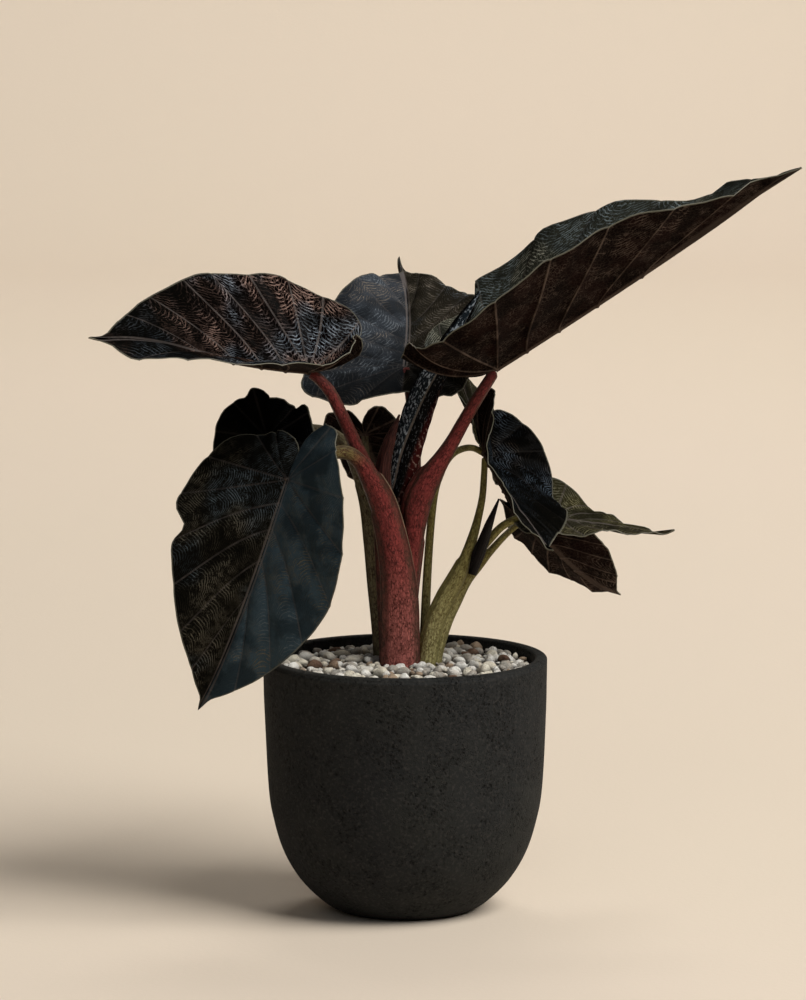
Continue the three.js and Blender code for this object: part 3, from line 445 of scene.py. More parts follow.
class Channel:
    """An output of a material's nodes. Arithmetic on it adds Math nodes."""

    def __init__(self, look, socket):
        self.look = look
        self.socket = socket

    def math(self, operation, *values):
        """This channel and other values or channels through one Math node."""
        inputs = dict(enumerate([self, *values]))
        return self.look.node("ShaderNodeMath", {"operation": operation}, inputs)

    def __add__(self, other):
        return self.math("ADD", other)

    def __radd__(self, other):
        return self.math("ADD", other)

    def __sub__(self, other):
        return self.math("SUBTRACT", other)

    def __rsub__(self, other):
        return self.look.node("ShaderNodeMath", {"operation": "SUBTRACT"}, {0: other, 1: self})

    def __mul__(self, other):
        return self.math("MULTIPLY", other)

    def __rmul__(self, other):
        return self.math("MULTIPLY", other)

    def __truediv__(self, other):
        return self.math("DIVIDE", other)

    def __pow__(self, other):
        return self.math("POWER", other)

    def between(self, low, high):
        """A smooth mask from 0 at low to 1 at high. It falls where low is above high."""
        falls = low > high
        limits = {1: high, 2: low, 3: 1, 4: 0} if falls else {1: low, 2: high, 3: 0, 4: 1}
        settings = {"interpolation_type": "SMOOTHSTEP"}
        return self.look.node("ShaderNodeMapRange", settings, {0: self, **limits})


class Look:
    """A material under construction. node adds any node and gives one of its outputs."""

    def __init__(self, name):
        self.material = bpy.data.materials.new(name)
        self.material.use_nodes = True
        self.tree = self.material.node_tree
        self.tree.nodes.clear()

    def node(self, kind, settings=None, inputs=None, output=0):
        """Adds a node, sets its settings, and then its sockets by name or number."""
        made = self.tree.nodes.new(kind)
        for key, value in (settings or {}).items():
            setattr(made, key, value)
        for key, value in (inputs or {}).items():
            if isinstance(value, Channel):
                self.tree.links.new(value.socket, made.inputs[key])
            else:
                made.inputs[key].default_value = value
        return Channel(self, made.outputs[output]) if made.outputs else None

    def value_at(self, name):
        """A value stored at the mesh's points."""
        return self.node("ShaderNodeAttribute", {"attribute_name": name}, output=2)

    def place(self):
        """The place on the object, in metres."""
        return self.node("ShaderNodeTexCoord", output=3)

    def stretched(self, across, along):
        """Coordinates that follow a stalk, in millimetres, with its length pressed together."""
        inputs = {0: self.value_at("round_x") * across, 1: self.value_at("round_y") * across,
                  2: self.value_at("along") * along}
        return self.node("ShaderNodeCombineXYZ", inputs=inputs)

    def noise(self, scale, detail=4.0, roughness=0.55, vector=None):
        """Soft cloudy noise from 0 to 1."""
        inputs = {"Vector": vector or self.place(), "Scale": scale, "Detail": detail,
                  "Roughness": roughness}
        return self.node("ShaderNodeTexNoise", inputs=inputs)

    def cells(self, scale, feature="F1", vector=None):
        """Distance within scattered cells, or to their edges."""
        inputs = {"Vector": vector or self.place(), "Scale": scale}
        return self.node("ShaderNodeTexVoronoi", {"feature": feature}, inputs)

    def mix(self, factor, first, second):
        """A colour between two colours."""
        inputs = {0: factor, 6: opaque(first), 7: opaque(second)}
        return self.node("ShaderNodeMix", {"data_type": "RGBA"}, inputs, output=2)

    def layers(self, colour, *covers):
        """A colour with others laid over it, each given as a mask and its colour."""
        for mask, cover in covers:
            colour = self.mix(mask, colour, cover)
        return colour

    def surface(self, colour, roughness, height=None, relief=0.0, **constants):
        """Closes the material with a Principled surface whose relief is given in metres."""
        inputs = {"Base Color": opaque(colour), "Roughness": roughness}
        if height is not None:
            bump = {"Strength": 1.0, "Distance": relief, "Height": height}
            inputs["Normal"] = self.node("ShaderNodeBump", inputs=bump)
        inputs.update({key.replace("_", " "): value for key, value in constants.items()})
        shader = self.node("ShaderNodeBsdfPrincipled", inputs=inputs)
        self.node("ShaderNodeOutputMaterial", inputs={"Surface": shader})
        return self.material


def opaque(colour):
    """A colour with its fourth number, or a channel as it is."""
    return colour if isinstance(colour, Channel) else (*colour, 1.0)


# Leaf materials

def fine_lines(look, spacing):
    """Thin bent and broken lines from side vein to side vein, and the short links between them."""
    ladder = look.value_at("ladder") / spacing
    bend = look.noise(70.0, 2.0) * 2.0 + look.noise(300.0, 3.0)
    lines = ((ladder + bend) * math.tau).math("SINE").between(0.4, 0.95)
    broken = look.noise(260.0, 2.0).between(0.42, 0.52)
    place = {0: ladder * 0.9 + bend, 1: look.value_at("vein_mm") / spacing,
             2: look.noise(40.0, 1.0) * 2.0}
    vector = look.node("ShaderNodeCombineXYZ", inputs=place)
    links = look.cells(1.0, "DISTANCE_TO_EDGE", vector).between(0.07, 0.02)
    return lines * broken, links


def blade_top_material(name, settings, tint):
    """Near-black skin with fine pale lines between the side veins, a tint each side, and painted
    light.
    """
    look = Look(name)
    rib = look.value_at("rib_mm")
    lines, links = fine_lines(look, tint["spacing"])
    # Painted light: a mask along the blade of where it is lit; outside it the lines fade and the
    # ground takes painted shade
    painted_light = look.value_at("along").between(*tint["painted_light"])
    cloud = look.noise(34.0, 4.0, 0.6).between(0.44, 0.58)
    # Painted glints: random patches where the fine lines and veins are drawn brighter
    glint = look.noise(110.0, 2.0).between(0.34, 0.62)
    # Painted sheen: random patches where the fine lines take the blue-grey sheen colour
    painted_sheen_patch = look.noise(24.0, 2.0).between(0.45, 0.57)
    # Each half's tint; on two leaves the blue left half is a painted sheen
    left = look.value_at("hand").between(-0.15, 0.15)
    line_colour = look.mix(painted_sheen_patch, tint["line"], tint["sheen"])
    shown = (1 - cloud * 0.85) * (glint * 0.7 + 0.3) * (painted_light * 0.85 + 0.15) * tint["share"]
    flank = look.value_at("vein_mm").between(0.8, 0.4)
    rib_flank = rib.between(1.7, 1.1) * rib.between(0.3, 0.6)
    colour = look.layers(
        tint["right"],
        (left, tint["left"]),
        # Painted shade in the deep colour where the painted light is off, and in random cloudy
        # patches
        (1 - painted_light * (1 - cloud * 0.5), settings.deep),
        (lines * shown, line_colour),
        (links * shown * 0.4, line_colour),
        (flank * (glint * 0.5 + 0.5) * (painted_light * 0.4 + 0.6) * tint["vein"], settings.vein_line),
        (rib_flank * 0.5, settings.vein_line),
        (look.value_at("edge_mm").between(0.9, 0.4) * 0.65, settings.rim),
    )
    height = lines * 0.6 + links * 0.25 + flank * 0.4
    coat = (lines * (1 - cloud) * 0.7 + 0.3) * tint["gloss"]
    return look.surface(
        colour, 0.5 + cloud * 0.12 - lines * 0.05, height, 0.0005, Specular_IOR_Level=0.0,
        Coat_Weight=coat, Coat_Roughness=tint["roughness"], Coat_Tint=opaque(settings.gleam),
    )


def blade_underside_material(name, settings, tint):
    """Dark maroon-brown with pale raised veins and a fine net between them."""
    look = Look(name)
    outer = look.value_at("along").between(0.25, 0.75)
    cloud = look.noise(46.0, 4.0).between(0.42, 0.6)
    lines, links = fine_lines(look, tint["spacing"])
    net = look.cells(480.0, "DISTANCE_TO_EDGE").between(0.13, 0.02)
    # Painted glints: random patches where the lines and veins are drawn brighter
    glint = look.noise(90.0, 3.0).between(0.42, 0.62)
    flank = look.value_at("vein_mm").between(0.8, 0.35)
    colour = look.layers(
        tint["body"],
        (cloud, tint["second"]),
        (lines * (glint * 0.45 + 0.03) * (outer * 1.1 + 0.3), tint["vein"]),
        (links * glint * 0.35 + net * 0.08, tint["vein"]),
        (flank * (glint * 0.5 + 0.3), tint["vein"]),
        (look.value_at("rib_mm").between(1.9, 0.9) * 0.5, tint["vein"]),
        (look.value_at("edge_mm").between(0.95, 0.4) * 0.8, settings.rim),
    )
    height = lines * 0.35 + links * 0.3 + net * 0.2 + flank * 0.4
    return look.surface(
        colour, 0.55 + cloud * 0.1, height, 0.0004, Specular_IOR_Level=0.0,
        Coat_Weight=settings.underside_gloss, Coat_Roughness=0.35,
    )


def blade_rim_material(settings):
    """The thin pale edge of a blade."""
    look = Look("blade_rim")
    change = look.noise(60.0, 3.0).between(0.35, 0.65)
    colour = look.mix(change * 0.5, settings.rim, settings.olive)
    return look.surface(colour, 0.5, look.noise(900.0, 2.0), 0.0001)


# Blades

def spine_start(leaf):
    """Station, place, direction along and upper normal where the stalk meets the blade."""
    azimuth, rise, roll = leaf["set_out"]
    a = math.radians(azimuth)
    r = math.radians(rise)
    along = np.array([math.cos(r) * math.cos(a), math.cos(r) * math.sin(a), math.sin(r)])
    up = np.array([-math.sin(r) * math.cos(a), -math.sin(r) * math.sin(a), math.cos(r)])
    return 0.0, np.array(leaf["joint"], float), along, turned(up, along, roll)


def walk_midrib(leaf, start, count, stride):
    """Steps along the midrib from its start, to the tip or, with a stride below zero, back."""
    bend, tip_bend, sweep, twist = leaf["course"]
    station, place, ahead, above = start
    found = []
    for _ in range(count):
        middle = station + stride / 2
        side = np.cross(above, ahead)
        if stride > 0:
            turn = (bend + tip_bend * 4 * middle ** 3) * stride
        else:
            turn = leaf["lobe_droop"] * stride / LOBE_DROOP_REACH
        next_ahead = turned(ahead, side, turn)
        above = turned(above, side, turn)
        if stride > 0:
            next_ahead = turned(next_ahead, above, sweep * stride)
            above = turned(above, next_ahead, twist * stride)
        place = place + (ahead + next_ahead) * stride * leaf["length"] / 2
        station += stride
        ahead = next_ahead
        found.append((station, place, ahead, above))
    return found


def leaf_spine(leaf, steps=56, lobe_steps=16):
    """Stations, places, directions along and upper normals of a leaf's centre line."""
    start = spine_start(leaf)
    forward = walk_midrib(leaf, start, steps, 1 / steps)
    backward = walk_midrib(leaf, start, lobe_steps, -LOBE_REACH / lobe_steps)
    return [np.array(column) for column in zip(*(backward[::-1] + [start] + forward))]


def read_spine(spine, station):
    """Place, direction along and upper normal at any array of stations."""
    stations, *columns = spine
    return [
        np.stack([np.interp(station, stations, column[:, k]) for k in range(3)], -1)
        for column in columns
    ]


def leaf_outline(leaf):
    """The half outline with this leaf's own notch and gap between the lobes."""
    found = [(-leaf["notch"], 0.0)]
    for i, (along, aside) in enumerate(HALF_OUTLINE[1:]):
        found.append((along, aside + leaf["gape"] * max(0.0, 1 - i / GAPE_POINTS)))
    return found


def vein_margins(settings):
    """Where the side veins meet the margin, as shares of the outline from notch to tip."""
    lobe_veins = [settings.lobe_vein, settings.lobe_vein + SECOND_LOBE_VEIN_GAP]
    first = lobe_veins[1] + FIRST_SIDE_VEIN_GAP
    return np.array(lobe_veins + [first + k * SIDE_VEIN_GAP for k in range(settings.side_veins)])


def blade_rows(veins):
    """Rows of the fine grid, close together beside each vein."""
    near = np.array([0, 0.025, 0.06, 0.12, 0.22, 0.36, 0.5, 0.64, 0.78, 0.88, 0.94, 0.975])
    stops = np.concatenate([[0.0], veins, [1.0]])
    rows = [low + (high - low) * near for low, high in zip(stops[:-1], stops[1:])]
    return np.append(np.concatenate(rows), 1.0)


def blade_columns(count=26):
    """Columns from midrib to margin, closer together at both."""
    middle = np.linspace(0.05, 0.95, count)
    return np.concatenate([[0, 0.008, 0.02, 0.035], middle, [0.97, 0.985, 0.994, 1]])


def vein_gap(veins, margin):
    """Share of the way from one vein to the next, and the width of that gap in the margin."""
    stops = np.concatenate([[0.0], veins, [1.0]])
    i = np.clip(np.searchsorted(stops, margin, side="right") - 1, 0, len(stops) - 2)
    width = stops[i + 1] - stops[i]
    return (margin - stops[i]) / width, width


def ruffled(leaf, hand, margin, column):
    """Sum of a half's ruffles along its margin, in millimetres: their lift or their swell."""
    total = np.zeros_like(margin)
    for ruffle in leaf["ruffles"]:
        if ruffle[0] == hand:
            total += ruffle[column] * bump(margin - ruffle[1], ruffle[2])
    return total * np.clip(np.minimum(margin, 1 - margin) / RUFFLE_QUIET, 0, 1)


def swelled_edge(leaf, outline, hand, margin):
    """The half outline along and aside, pushed out or in by the half's ruffles."""
    edge = smooth_points(outline, margin)
    step = 0.004
    ahead = unit(smooth_points(outline, margin + step) - smooth_points(outline, margin - step))
    outward = np.stack([-ahead[..., 1], ahead[..., 0]], -1)
    edge = edge + outward * (ruffled(leaf, hand, margin, RUFFLE_SWELL) / leaf["length"])[..., None]
    return edge[..., 0], edge[..., 1]


def blade_ripple(leaf, hand, margin, out):
    """Height of the waves and ruffles that grow towards the margin, in millimetres."""
    height, count, phase = leaf["wave"]
    quiet = np.clip((1 - margin) / TIP_QUIET, 0, 1) * np.clip(margin / NOTCH_QUIET, 0, 1)
    swing = np.sin(math.tau * count * margin + phase + hand)
    crinkle_turn = math.tau * (CRINKLE_COUNT * count) * margin + 2 * phase - hand
    crinkle = CRINKLE_SIZE * np.sin(crinkle_turn) * out ** 2
    ripple = height * out ** 2 * quiet * (swing + crinkle)
    return ripple + ruffled(leaf, hand, margin, RUFFLE_LIFT) * out ** 2


def blade_surface(leaf, spine, outline, hand, margin, out):
    """Middle surface of a blade at arrays of margin and out, with station and sideways share."""
    side_half = leaf["left"] if hand > 0 else leaf["right"]
    edge_along, edge_aside = swelled_edge(leaf, outline, hand, margin)
    plain_along = smooth_points(outline, margin)[..., 0]
    start = np.clip((plain_along - LAST_STALK_VEIN) / (1 - LAST_STALK_VEIN), 0, 1)
    root = 1 - (1 - start) ** VEIN_SLANT
    forward = smooth_step(0.1, 0.5, edge_along) * smooth_step(1.0, 0.8, edge_along)
    bow = VEIN_BOW * forward * np.sin(math.pi * out) * (1 - 0.3 * out)
    station = root + (edge_along - root) * out - bow
    aside = edge_aside * side_half["width"] * out
    place, along, up = read_spine(spine, station)
    side = np.cross(up, along)
    fold = np.radians(np.interp(station, FOLD_STATIONS, side_half["folds"]))
    curl = math.radians(side_half["curl"]) + FLATTEST_CURL
    angle = fold + curl * aside / WIDEST_HALF
    radius = WIDEST_HALF / curl
    across = radius * (np.sin(angle) - np.sin(fold)) * leaf["length"]
    lifted = -radius * (np.cos(angle) - np.cos(fold)) * leaf["length"]
    ripple = blade_ripple(leaf, hand, margin, out)
    shift_side = hand * (across - np.sin(angle) * ripple)
    shift_up = lifted + np.cos(angle) * ripple
    points = place + side * shift_side[..., None] + up * shift_up[..., None]
    return points, station, aside


def merged(points, faces):
    """Points without doubles, the faces that keep three corners, and which point each was."""
    keys = np.round(points * MERGE_STEPS_PER_MM).astype(np.int64)
    _, first, back = np.unique(keys, axis=0, return_index=True, return_inverse=True)
    back = back.ravel()
    kept = []
    for face in faces:
        corners = []
        for i in face:
            new = int(back[i])
            if new not in corners:
                corners.append(new)
        if len(corners) > 2:
            kept.append(tuple(corners))
    return points[first], kept, first


def point_normals(points, faces):
    """Normals at the points of a sheet, from the faces round each."""
    normals = np.zeros_like(points)
    corners = np.array([(face[0], face[1], face[2], face[-1]) for face in faces])
    a, b, c, d = (points[corners[:, k]] for k in range(4))
    small_part = 1e-3
    cross = np.cross(c - a, d - b) + np.cross(b - a, c - a) * small_part
    for face, normal in zip(faces, cross):
        for i in face:
            normals[i] += normal
    return unit(normals)


def add_drip(points, station, leaf, spine):
    """Draws the last stretch of the blade out into a thin curled point."""
    length, curl = leaf["drip"]
    _, ahead, up = (column[0] for column in read_spine(spine, np.array([1.0])))
    side = np.cross(up, ahead)
    offsets = [np.zeros(3)]
    for _ in range(DRIP_STEPS):
        ahead = turned(ahead, side, curl / DRIP_STEPS)
        offsets.append(offsets[-1] + ahead * length / DRIP_STEPS)
    offsets = np.array(offsets)
    reach = smooth_step(DRIP_START, 1.0, station) ** 3 * DRIP_STEPS
    stops = np.arange(DRIP_STEPS + 1)
    return points + np.stack([np.interp(reach, stops, offsets[:, k]) for k in range(3)], -1)


def blade_rise(leaf, margin, out, gap, vein):
    """How far the blade swells up between its side veins, in millimetres."""
    arch = PLEAT_ARCH * np.sin(math.pi * gap) ** PLEAT_ARCH_POWER
    swell = PLEAT_SWELL * (1 - np.exp(-vein / VEIN_DIP_WIDTH))
    rise = leaf["pleat"] * (arch + swell)
    rise *= smooth_step(0.0, 0.3, out) * (1 - 0.3 * smooth_step(0.8, 1.0, out))
    rise *= smooth_step(0.0, 0.08, margin) * smooth_step(1.0, 0.86, margin)
    return rise


def blade_ridges(settings, margin, out, station, vein, rib):
    """How far the side veins and the midrib stand out below, in millimetres."""
    ends = smooth_step(0.02, 0.14, margin) * smooth_step(0.995, 0.88, margin)
    ridge = settings.vein_ridge / MM * (1 - 0.75 * out) * bump(vein, VEIN_WIDTH) * ends
    rib_fade = smooth_step(1.0, 0.7, station) * 0.8 + 0.2
    return ridge + settings.rib_ridge / MM * rib_fade * bump(rib, MIDRIB_WIDTH)


def blade_half(leaf, spine, hand, settings, rows, columns):
    """Middle points of one half of a blade, and the values at them by name."""
    margin, out = np.meshgrid(rows, columns, indexing="ij")
    outline = leaf_outline(leaf)
    points, station, aside = blade_surface(leaf, spine, outline, hand, margin, out)
    slope = np.linalg.norm(np.gradient(points, rows, axis=0), axis=-1)
    gap, gap_width = vein_gap(vein_margins(settings), margin)
    edge_point = smooth_points(outline, margin)
    reach = np.hypot(edge_point[..., 0] - station[:, :1], edge_point[..., 1]) * leaf["length"]
    vein = np.minimum(gap, 1 - gap) * gap_width * slope
    rib = np.hypot(np.minimum(station, 0), aside) * leaf["length"]
    values = {
        "vein_mm": vein,
        "rib_mm": rib,
        "edge_mm": (1 - out) * reach,
        "ladder": out * reach + LADDER_BOW * np.sin(math.pi * gap) * gap_width * slope,
        "hand": np.where(out > 0, float(hand), 0.0),
        "along": station,
        "rise": blade_rise(leaf, margin, out, gap, vein),
        "ridge": blade_ridges(settings, margin, out, station, vein, rib),
        "thick": settings.thickness / MM * (1 - 0.45 * smooth_step(0.5, 1.0, out)),
    }
    points = add_drip(points, station, leaf, spine).reshape(-1, 3)
    return points, {key: value.ravel() for key, value in values.items()}


def joined_halves(halves, rows, columns):
    """Points, faces and values of both halves as one sheet without doubles."""
    size = rows * columns
    left = grid_faces(rows, columns, flip=True)
    right = [tuple(i + size for i in face) for face in grid_faces(rows, columns)]
    all_points = np.concatenate([points for points, _ in halves])
    points, faces, first = merged(all_points, left + right)
    values = {key: np.concatenate([half_values[key] for _, half_values in halves])[first]
              for key in halves[0][1]}
    return points, faces, values


def add_rim(sheet, faces, size):
    """Closes the open edges between two like sheets whose points are size apart."""
    edges = dict.fromkeys(edge for face in faces for edge in zip(face, face[1:] + face[:1]))
    for a, b in edges:
        if (b, a) not in edges:
            sheet.faces.append((b, a, a + size, b + size))
            sheet.looks.append(2)


def build_blade(name, leaf, settings, materials):
    """A fine blade: upper face with pleats, underside with ribs, and a thin rim."""
    spine = leaf_spine(leaf)
    rows = blade_rows(vein_margins(settings))
    columns = blade_columns()
    halves = [blade_half(leaf, spine, hand, settings, rows, columns) for hand in (1, -1)]
    points, faces, values = joined_halves(halves, len(rows), len(columns))
    rise, ridge, thick = (values.pop(key) for key in ("rise", "ridge", "thick"))
    normals = point_normals(points, faces)
    sheet = Sheet()
    upper = points + normals * (rise + thick / 2 - RIDGE_ABOVE * ridge)[:, None]
    lower = points + normals * (rise - thick / 2 - ridge)[:, None]
    sheet.add(upper, faces, 0, **values)
    sheet.add(lower, [face[::-1] for face in faces], 1, **values)
    add_rim(sheet, faces, len(points))
    return make_piece(f"{name}_blade", sheet, materials,
                      f"blade_{name}")


# Stalks

def tube_frames(path, steps):
    """Places along a stalk with its direction and the directions across and to the back."""
    share = np.linspace(0, 1, steps + 1)
    places = smooth_points(path, share)
    reach = 0.02
    before = smooth_points(path, share - reach)
    after = smooth_points(path, share + reach)
    along = unit(after - before)
    back = np.array([0.0, 1.0, 0.0])
    deep = unit(back - along * (along @ back)[:, None])
    across = np.cross(deep, along)
    return share, places, along, across, deep


def half_sizes(stalk, share, reach):
    """Evened half sizes across and to the back at shares of the path."""
    stations = np.linspace(0, 1, len(stalk["path"]))
    return [soft(np.interp(share, stations, stalk[key]), reach) for key in ("across", "deep")]


def soft(values, reach):
    """Values evened out along the first axis."""
    kernel = np.hanning(2 * reach + 3)[1:-1]
    kernel /= kernel.sum()
    padded = np.concatenate([np.repeat(values[:1], reach), values, np.repeat(values[-1:], reach)])
    return np.convolve(padded, kernel, "valid")


def tube_sheet(places, across, deep, wide, thick, turn, radial, **values):
    """A closed tube from its places, half sizes and a factor for each direction round it."""
    rows = len(places)
    sides = len(turn)
    x = wide[:, None] * np.cos(turn) * radial
    y = thick[:, None] * np.sin(turn) * radial
    points = places[:, None] + across[:, None] * x[..., None] + deep[:, None] * y[..., None]
    lengths = np.linalg.norm(np.diff(places, axis=0), axis=1)
    run = np.concatenate([[0], np.cumsum(lengths)])
    caps = [tuple(range(sides))[::-1], tuple(range((rows - 1) * sides, rows * sides))]
    faces = grid_faces(rows, sides, round_columns=True) + caps
    stored = {"round_x": x, "round_y": y, "along": run[:, None], **values}
    flat = {key: np.broadcast_to(value, x.shape).ravel() for key, value in stored.items()}
    sheet = Sheet()
    sheet.add(points.reshape(-1, 3), faces, 0, **flat)
    return sheet


def sheath_fins(stalk, height, turn, size):
    """The thin edges of a sheath: how far they stand out, and a mask of their rims."""
    ramp = 14
    lowest_share = 0.55
    fin_width = 0.12
    fin_power = 1.6
    groove_place = 0.42
    groove_width = 0.16
    groove_depth = 0.22
    rim_width = 0.09
    raised = np.zeros((len(height), len(turn)))
    rim = np.zeros_like(raised)
    for direction, low, high, stand in stalk["fins"]:
        grow = smooth_step(low, low + ramp, height) * smooth_step(high + 1.5, high - 2, height)
        grow = grow * (lowest_share + (1 - lowest_share) * smooth_step(low, high, height))
        off = off_direction(turn, math.radians(direction))
        groove = groove_depth * bump(np.abs(off) - groove_place, groove_width)
        raised += (stand / size * grow)[:, None] * (bump(off, fin_width, fin_power) - groove)
        rim = np.maximum(rim, grow[:, None] * bump(off, rim_width))
    return raised, rim


def rounded_end(share):
    """A factor that rounds off the upper end of a stalk."""
    rounded_share = 0.015
    flattening = 0.8
    close = np.clip((share - (1 - rounded_share)) / rounded_share, 0, 1)
    return np.sqrt(1 - flattening * close ** 2)


def build_stalk(name, stalk, settings, material, rng):
    """A mottled stalk with the thin edges of its sheath and faint lengthwise ribs."""
    share, places, along, across, deep = tube_frames(stalk["path"], settings.steps)
    drawn_back = settings.clearance / MM * smooth_step(0.96, 1.0, share)
    places = places - along * drawn_back[:, None]
    reach = max(2, settings.steps // 24)
    wide, thick = (sizes * rounded_end(share) for sizes in half_sizes(stalk, share, reach))
    turn = directions(settings.sides)
    ribs = 1 + 0.012 * np.cos(11 * turn + rng.uniform(0, math.tau))
    ribs = ribs + 0.008 * np.cos(17 * turn + rng.uniform(0, math.tau))
    height = places[:, 2]
    size = np.maximum(np.maximum(wide, thick), 1)
    raised, rim = sheath_fins(stalk, height, turn, size)
    front = 270
    side_shade_width = 0.42
    green_ramp = 0.12
    # Painted shade: two stripes darkened on the stalk's sides, either side of its front
    stripe = sum(bump(off_direction(turn, side), side_shade_width) for side in
                 np.radians([front - settings.side_shade_turn, front + settings.side_shade_turn]))
    green_from = stalk.get("green_from", 1.0)
    green = smooth_step(green_from, green_from + green_ramp, share)
    sheet = tube_sheet(places, across, deep, wide, thick, turn, ribs + raised,
                       rim=rim, height=height[:, None], stripe=stripe, green=green[:, None],
                       share=share[:, None])
    node = f"stalk_{name}"
    return make_piece(f"{name}_stalk", sheet, [material], node)


def stalk_material(name, settings, tint):
    """Satin skin with dark flecks, two painted shade stripes, pale sheath edges and a paler foot.
    """
    look = Look(name)
    body, dark, pale, base, side_shade = tint
    skin = look.stretched(1.0, 0.5)
    marble = look.cells(0.62, "DISTANCE_TO_EDGE", skin).between(0.22, 0.05)
    drift = look.noise(0.4, 3.0, 0.6, skin).between(0.4, 0.6)
    speck = look.noise(1.5, 3.0, 0.6, skin).between(0.5, 0.58)
    streak = look.noise(1.9, 2.0, 0.5, look.stretched(1.6, 0.03)).between(0.46, 0.66)
    green = look.value_at("green")
    rim = look.value_at("rim")
    colour = look.layers(
        body,
        (look.value_at("height").between(200.0, 140.0) * 0.8, base),
        (green, settings.green),
        (marble * (drift * 0.35 + 0.25), dark),
        (speck * (drift * 0.4 + 0.45), dark),
        (streak * 0.25, dark),
        (look.value_at("share").between(0.72, 0.95) * (1 - green) * 0.45, dark),
        # Painted shade on the two side stripes
        (look.value_at("stripe") * (drift * 0.3 + 0.6), side_shade),
        (rim.between(0.02, 0.3) * rim.between(0.7, 0.4) * 0.6, dark),
        (rim.between(0.5, 0.9) * 0.85, pale),
    )
    height = speck * 0.5 + streak * 0.6 - marble * 0.3
    return look.surface(colour, settings.roughness + speck * 0.12, height, 0.0003,
                        Specular_IOR_Level=0.12)


# Rolled leaf and spears

def build_rolled_leaf(material):
    """A leaf still rolled: a spiral whose free edge lies along its front."""
    steps = 150
    sides = 72
    seam = math.radians(-112)
    seam_turn_per_mm = 0.012
    ledge_height = 0.13
    vein_height = 0.012
    vein_spacing = 9.0
    rolled_heights = (205, 232)
    middle_height = 240
    share, places, _, across, deep = tube_frames(ROLLED_LEAF["path"], steps)
    wide, thick = half_sizes(ROLLED_LEAF, share, 5)
    turn = directions(sides)
    height = places[:, 2][:, None]
    rolled = smooth_step(*rolled_heights, height)
    twist = seam + seam_turn_per_mm * (height - middle_height)
    phase = np.mod(turn[None] - twist, math.tau) / math.tau
    veins = np.sin(math.tau * (height / vein_spacing + phase * 1.6)) * vein_height * rolled
    radial = 1 + ledge_height * rolled * (phase - 0.5) + veins
    sheet = tube_sheet(places, across, deep, wide, thick, turn, radial, turn_share=phase,
                       free_edge=np.minimum(phase, 1 - phase), height=height)
    return make_piece("new_rolled_leaf", sheet, [material], "rolled_leaf")


def rolled_leaf_material(settings):
    """Glossy near-black, flecked slate at the free edge, maroon with pale dashes on the right."""
    look = Look("rolled_leaf_skin")
    share = look.value_at("turn_share")
    height = look.value_at("height")
    even = look.stretched(1.0, 1.0)
    flecks = look.noise(1.3, 2.0, 0.5, look.stretched(1.0, 0.5)).between(0.56, 0.66)
    pale = look.noise(1.0, 3.0, 0.6, look.stretched(1.0, 0.45)).between(0.5, 0.6)
    slate = share.between(0.8, 0.85) * share.between(1.0, 0.985)
    maroon = share.between(0.1, 0.18) * share.between(0.52, 0.42)
    low = height.between(282.0, 236.0)
    wander = look.noise(0.3, 2.0, 0.5, even)
    dash_place = height / 4.6 + share * 9.0 + wander * 2.0
    dash = ((dash_place * math.tau).math("SINE") * 0.5 + 0.5) ** 8.0
    dash = dash * look.noise(0.35, 1.0, 0.5, even).between(0.4, 0.6)
    colour = look.layers(
        settings.body,
        (flecks * 0.6, settings.second),
        (slate * 0.45, settings.slate),
        (slate * pale * 0.8, settings.fleck),
        (maroon * low, settings.maroon),
        (dash * maroon * (low * 0.85 + 0.1), settings.dash),
        (look.value_at("free_edge").between(0.014, 0.006) * 0.6, settings.edge),
    )
    bump_height = flecks * 0.7 + dash * 0.35 + slate * pale * 0.5
    return look.surface(colour, 0.4, bump_height, 0.0004, Specular_IOR_Level=0.0,
                        Coat_Weight=flecks * 0.12 + 0.04, Coat_Roughness=0.2,
                        Coat_Tint=opaque(settings.gleam))


def build_spear(name, spear, material):
    """A slim pointed spear with a keel and lengthwise ribs."""
    steps = 70
    sides = 40
    keel_width = 0.35
    edge_width = 0.2
    edge_turn = 0.1
    share, places, _, across, deep = tube_frames(spear["path"], steps)
    wide, thick = half_sizes(spear, share, 4)
    turn = directions(sides)
    keel = bump(off_direction(turn, -math.pi / 2), keel_width)
    edges = sum(bump(off_direction(turn, side), edge_width)
                for side in (-edge_turn, math.pi + edge_turn))
    radial = 0.94 + 0.1 * keel + 0.16 * edges + 0.015 * np.cos(14 * turn)
    sheet = tube_sheet(places, across, deep, wide, thick, turn, radial, rim=edges,
                       height=places[:, 2][:, None])
    return make_piece(f"{name}_skin", sheet, [material], name)


def spear_material(name, body, stripe, pale):
    """Satin skin with lengthwise stripes and pale edges."""
    look = Look(name)
    streak = look.noise(1.6, 2.0, 0.5, look.stretched(1.8, 0.04)).between(0.42, 0.62)
    ticks = look.noise(1.8, 2.0, 0.5, look.stretched(0.8, 1.1)).between(0.52, 0.66)
    rim = look.value_at("rim").between(0.75, 1.0)
    colour = look.layers(body, (streak, stripe), (ticks * 0.4, body), (rim * 0.7, pale))
    return look.surface(colour, 0.42, streak * 0.6 + ticks * 0.3, 0.0003,
                        Specular_IOR_Level=0.15)


# Pot, mix and topping

def inner_radius(height):
    """Inner radius of the pot at a height."""
    radii, heights = zip(*POT_WALL_POINTS)
    return np.interp(height, heights, np.array(radii) - POT_WALL)


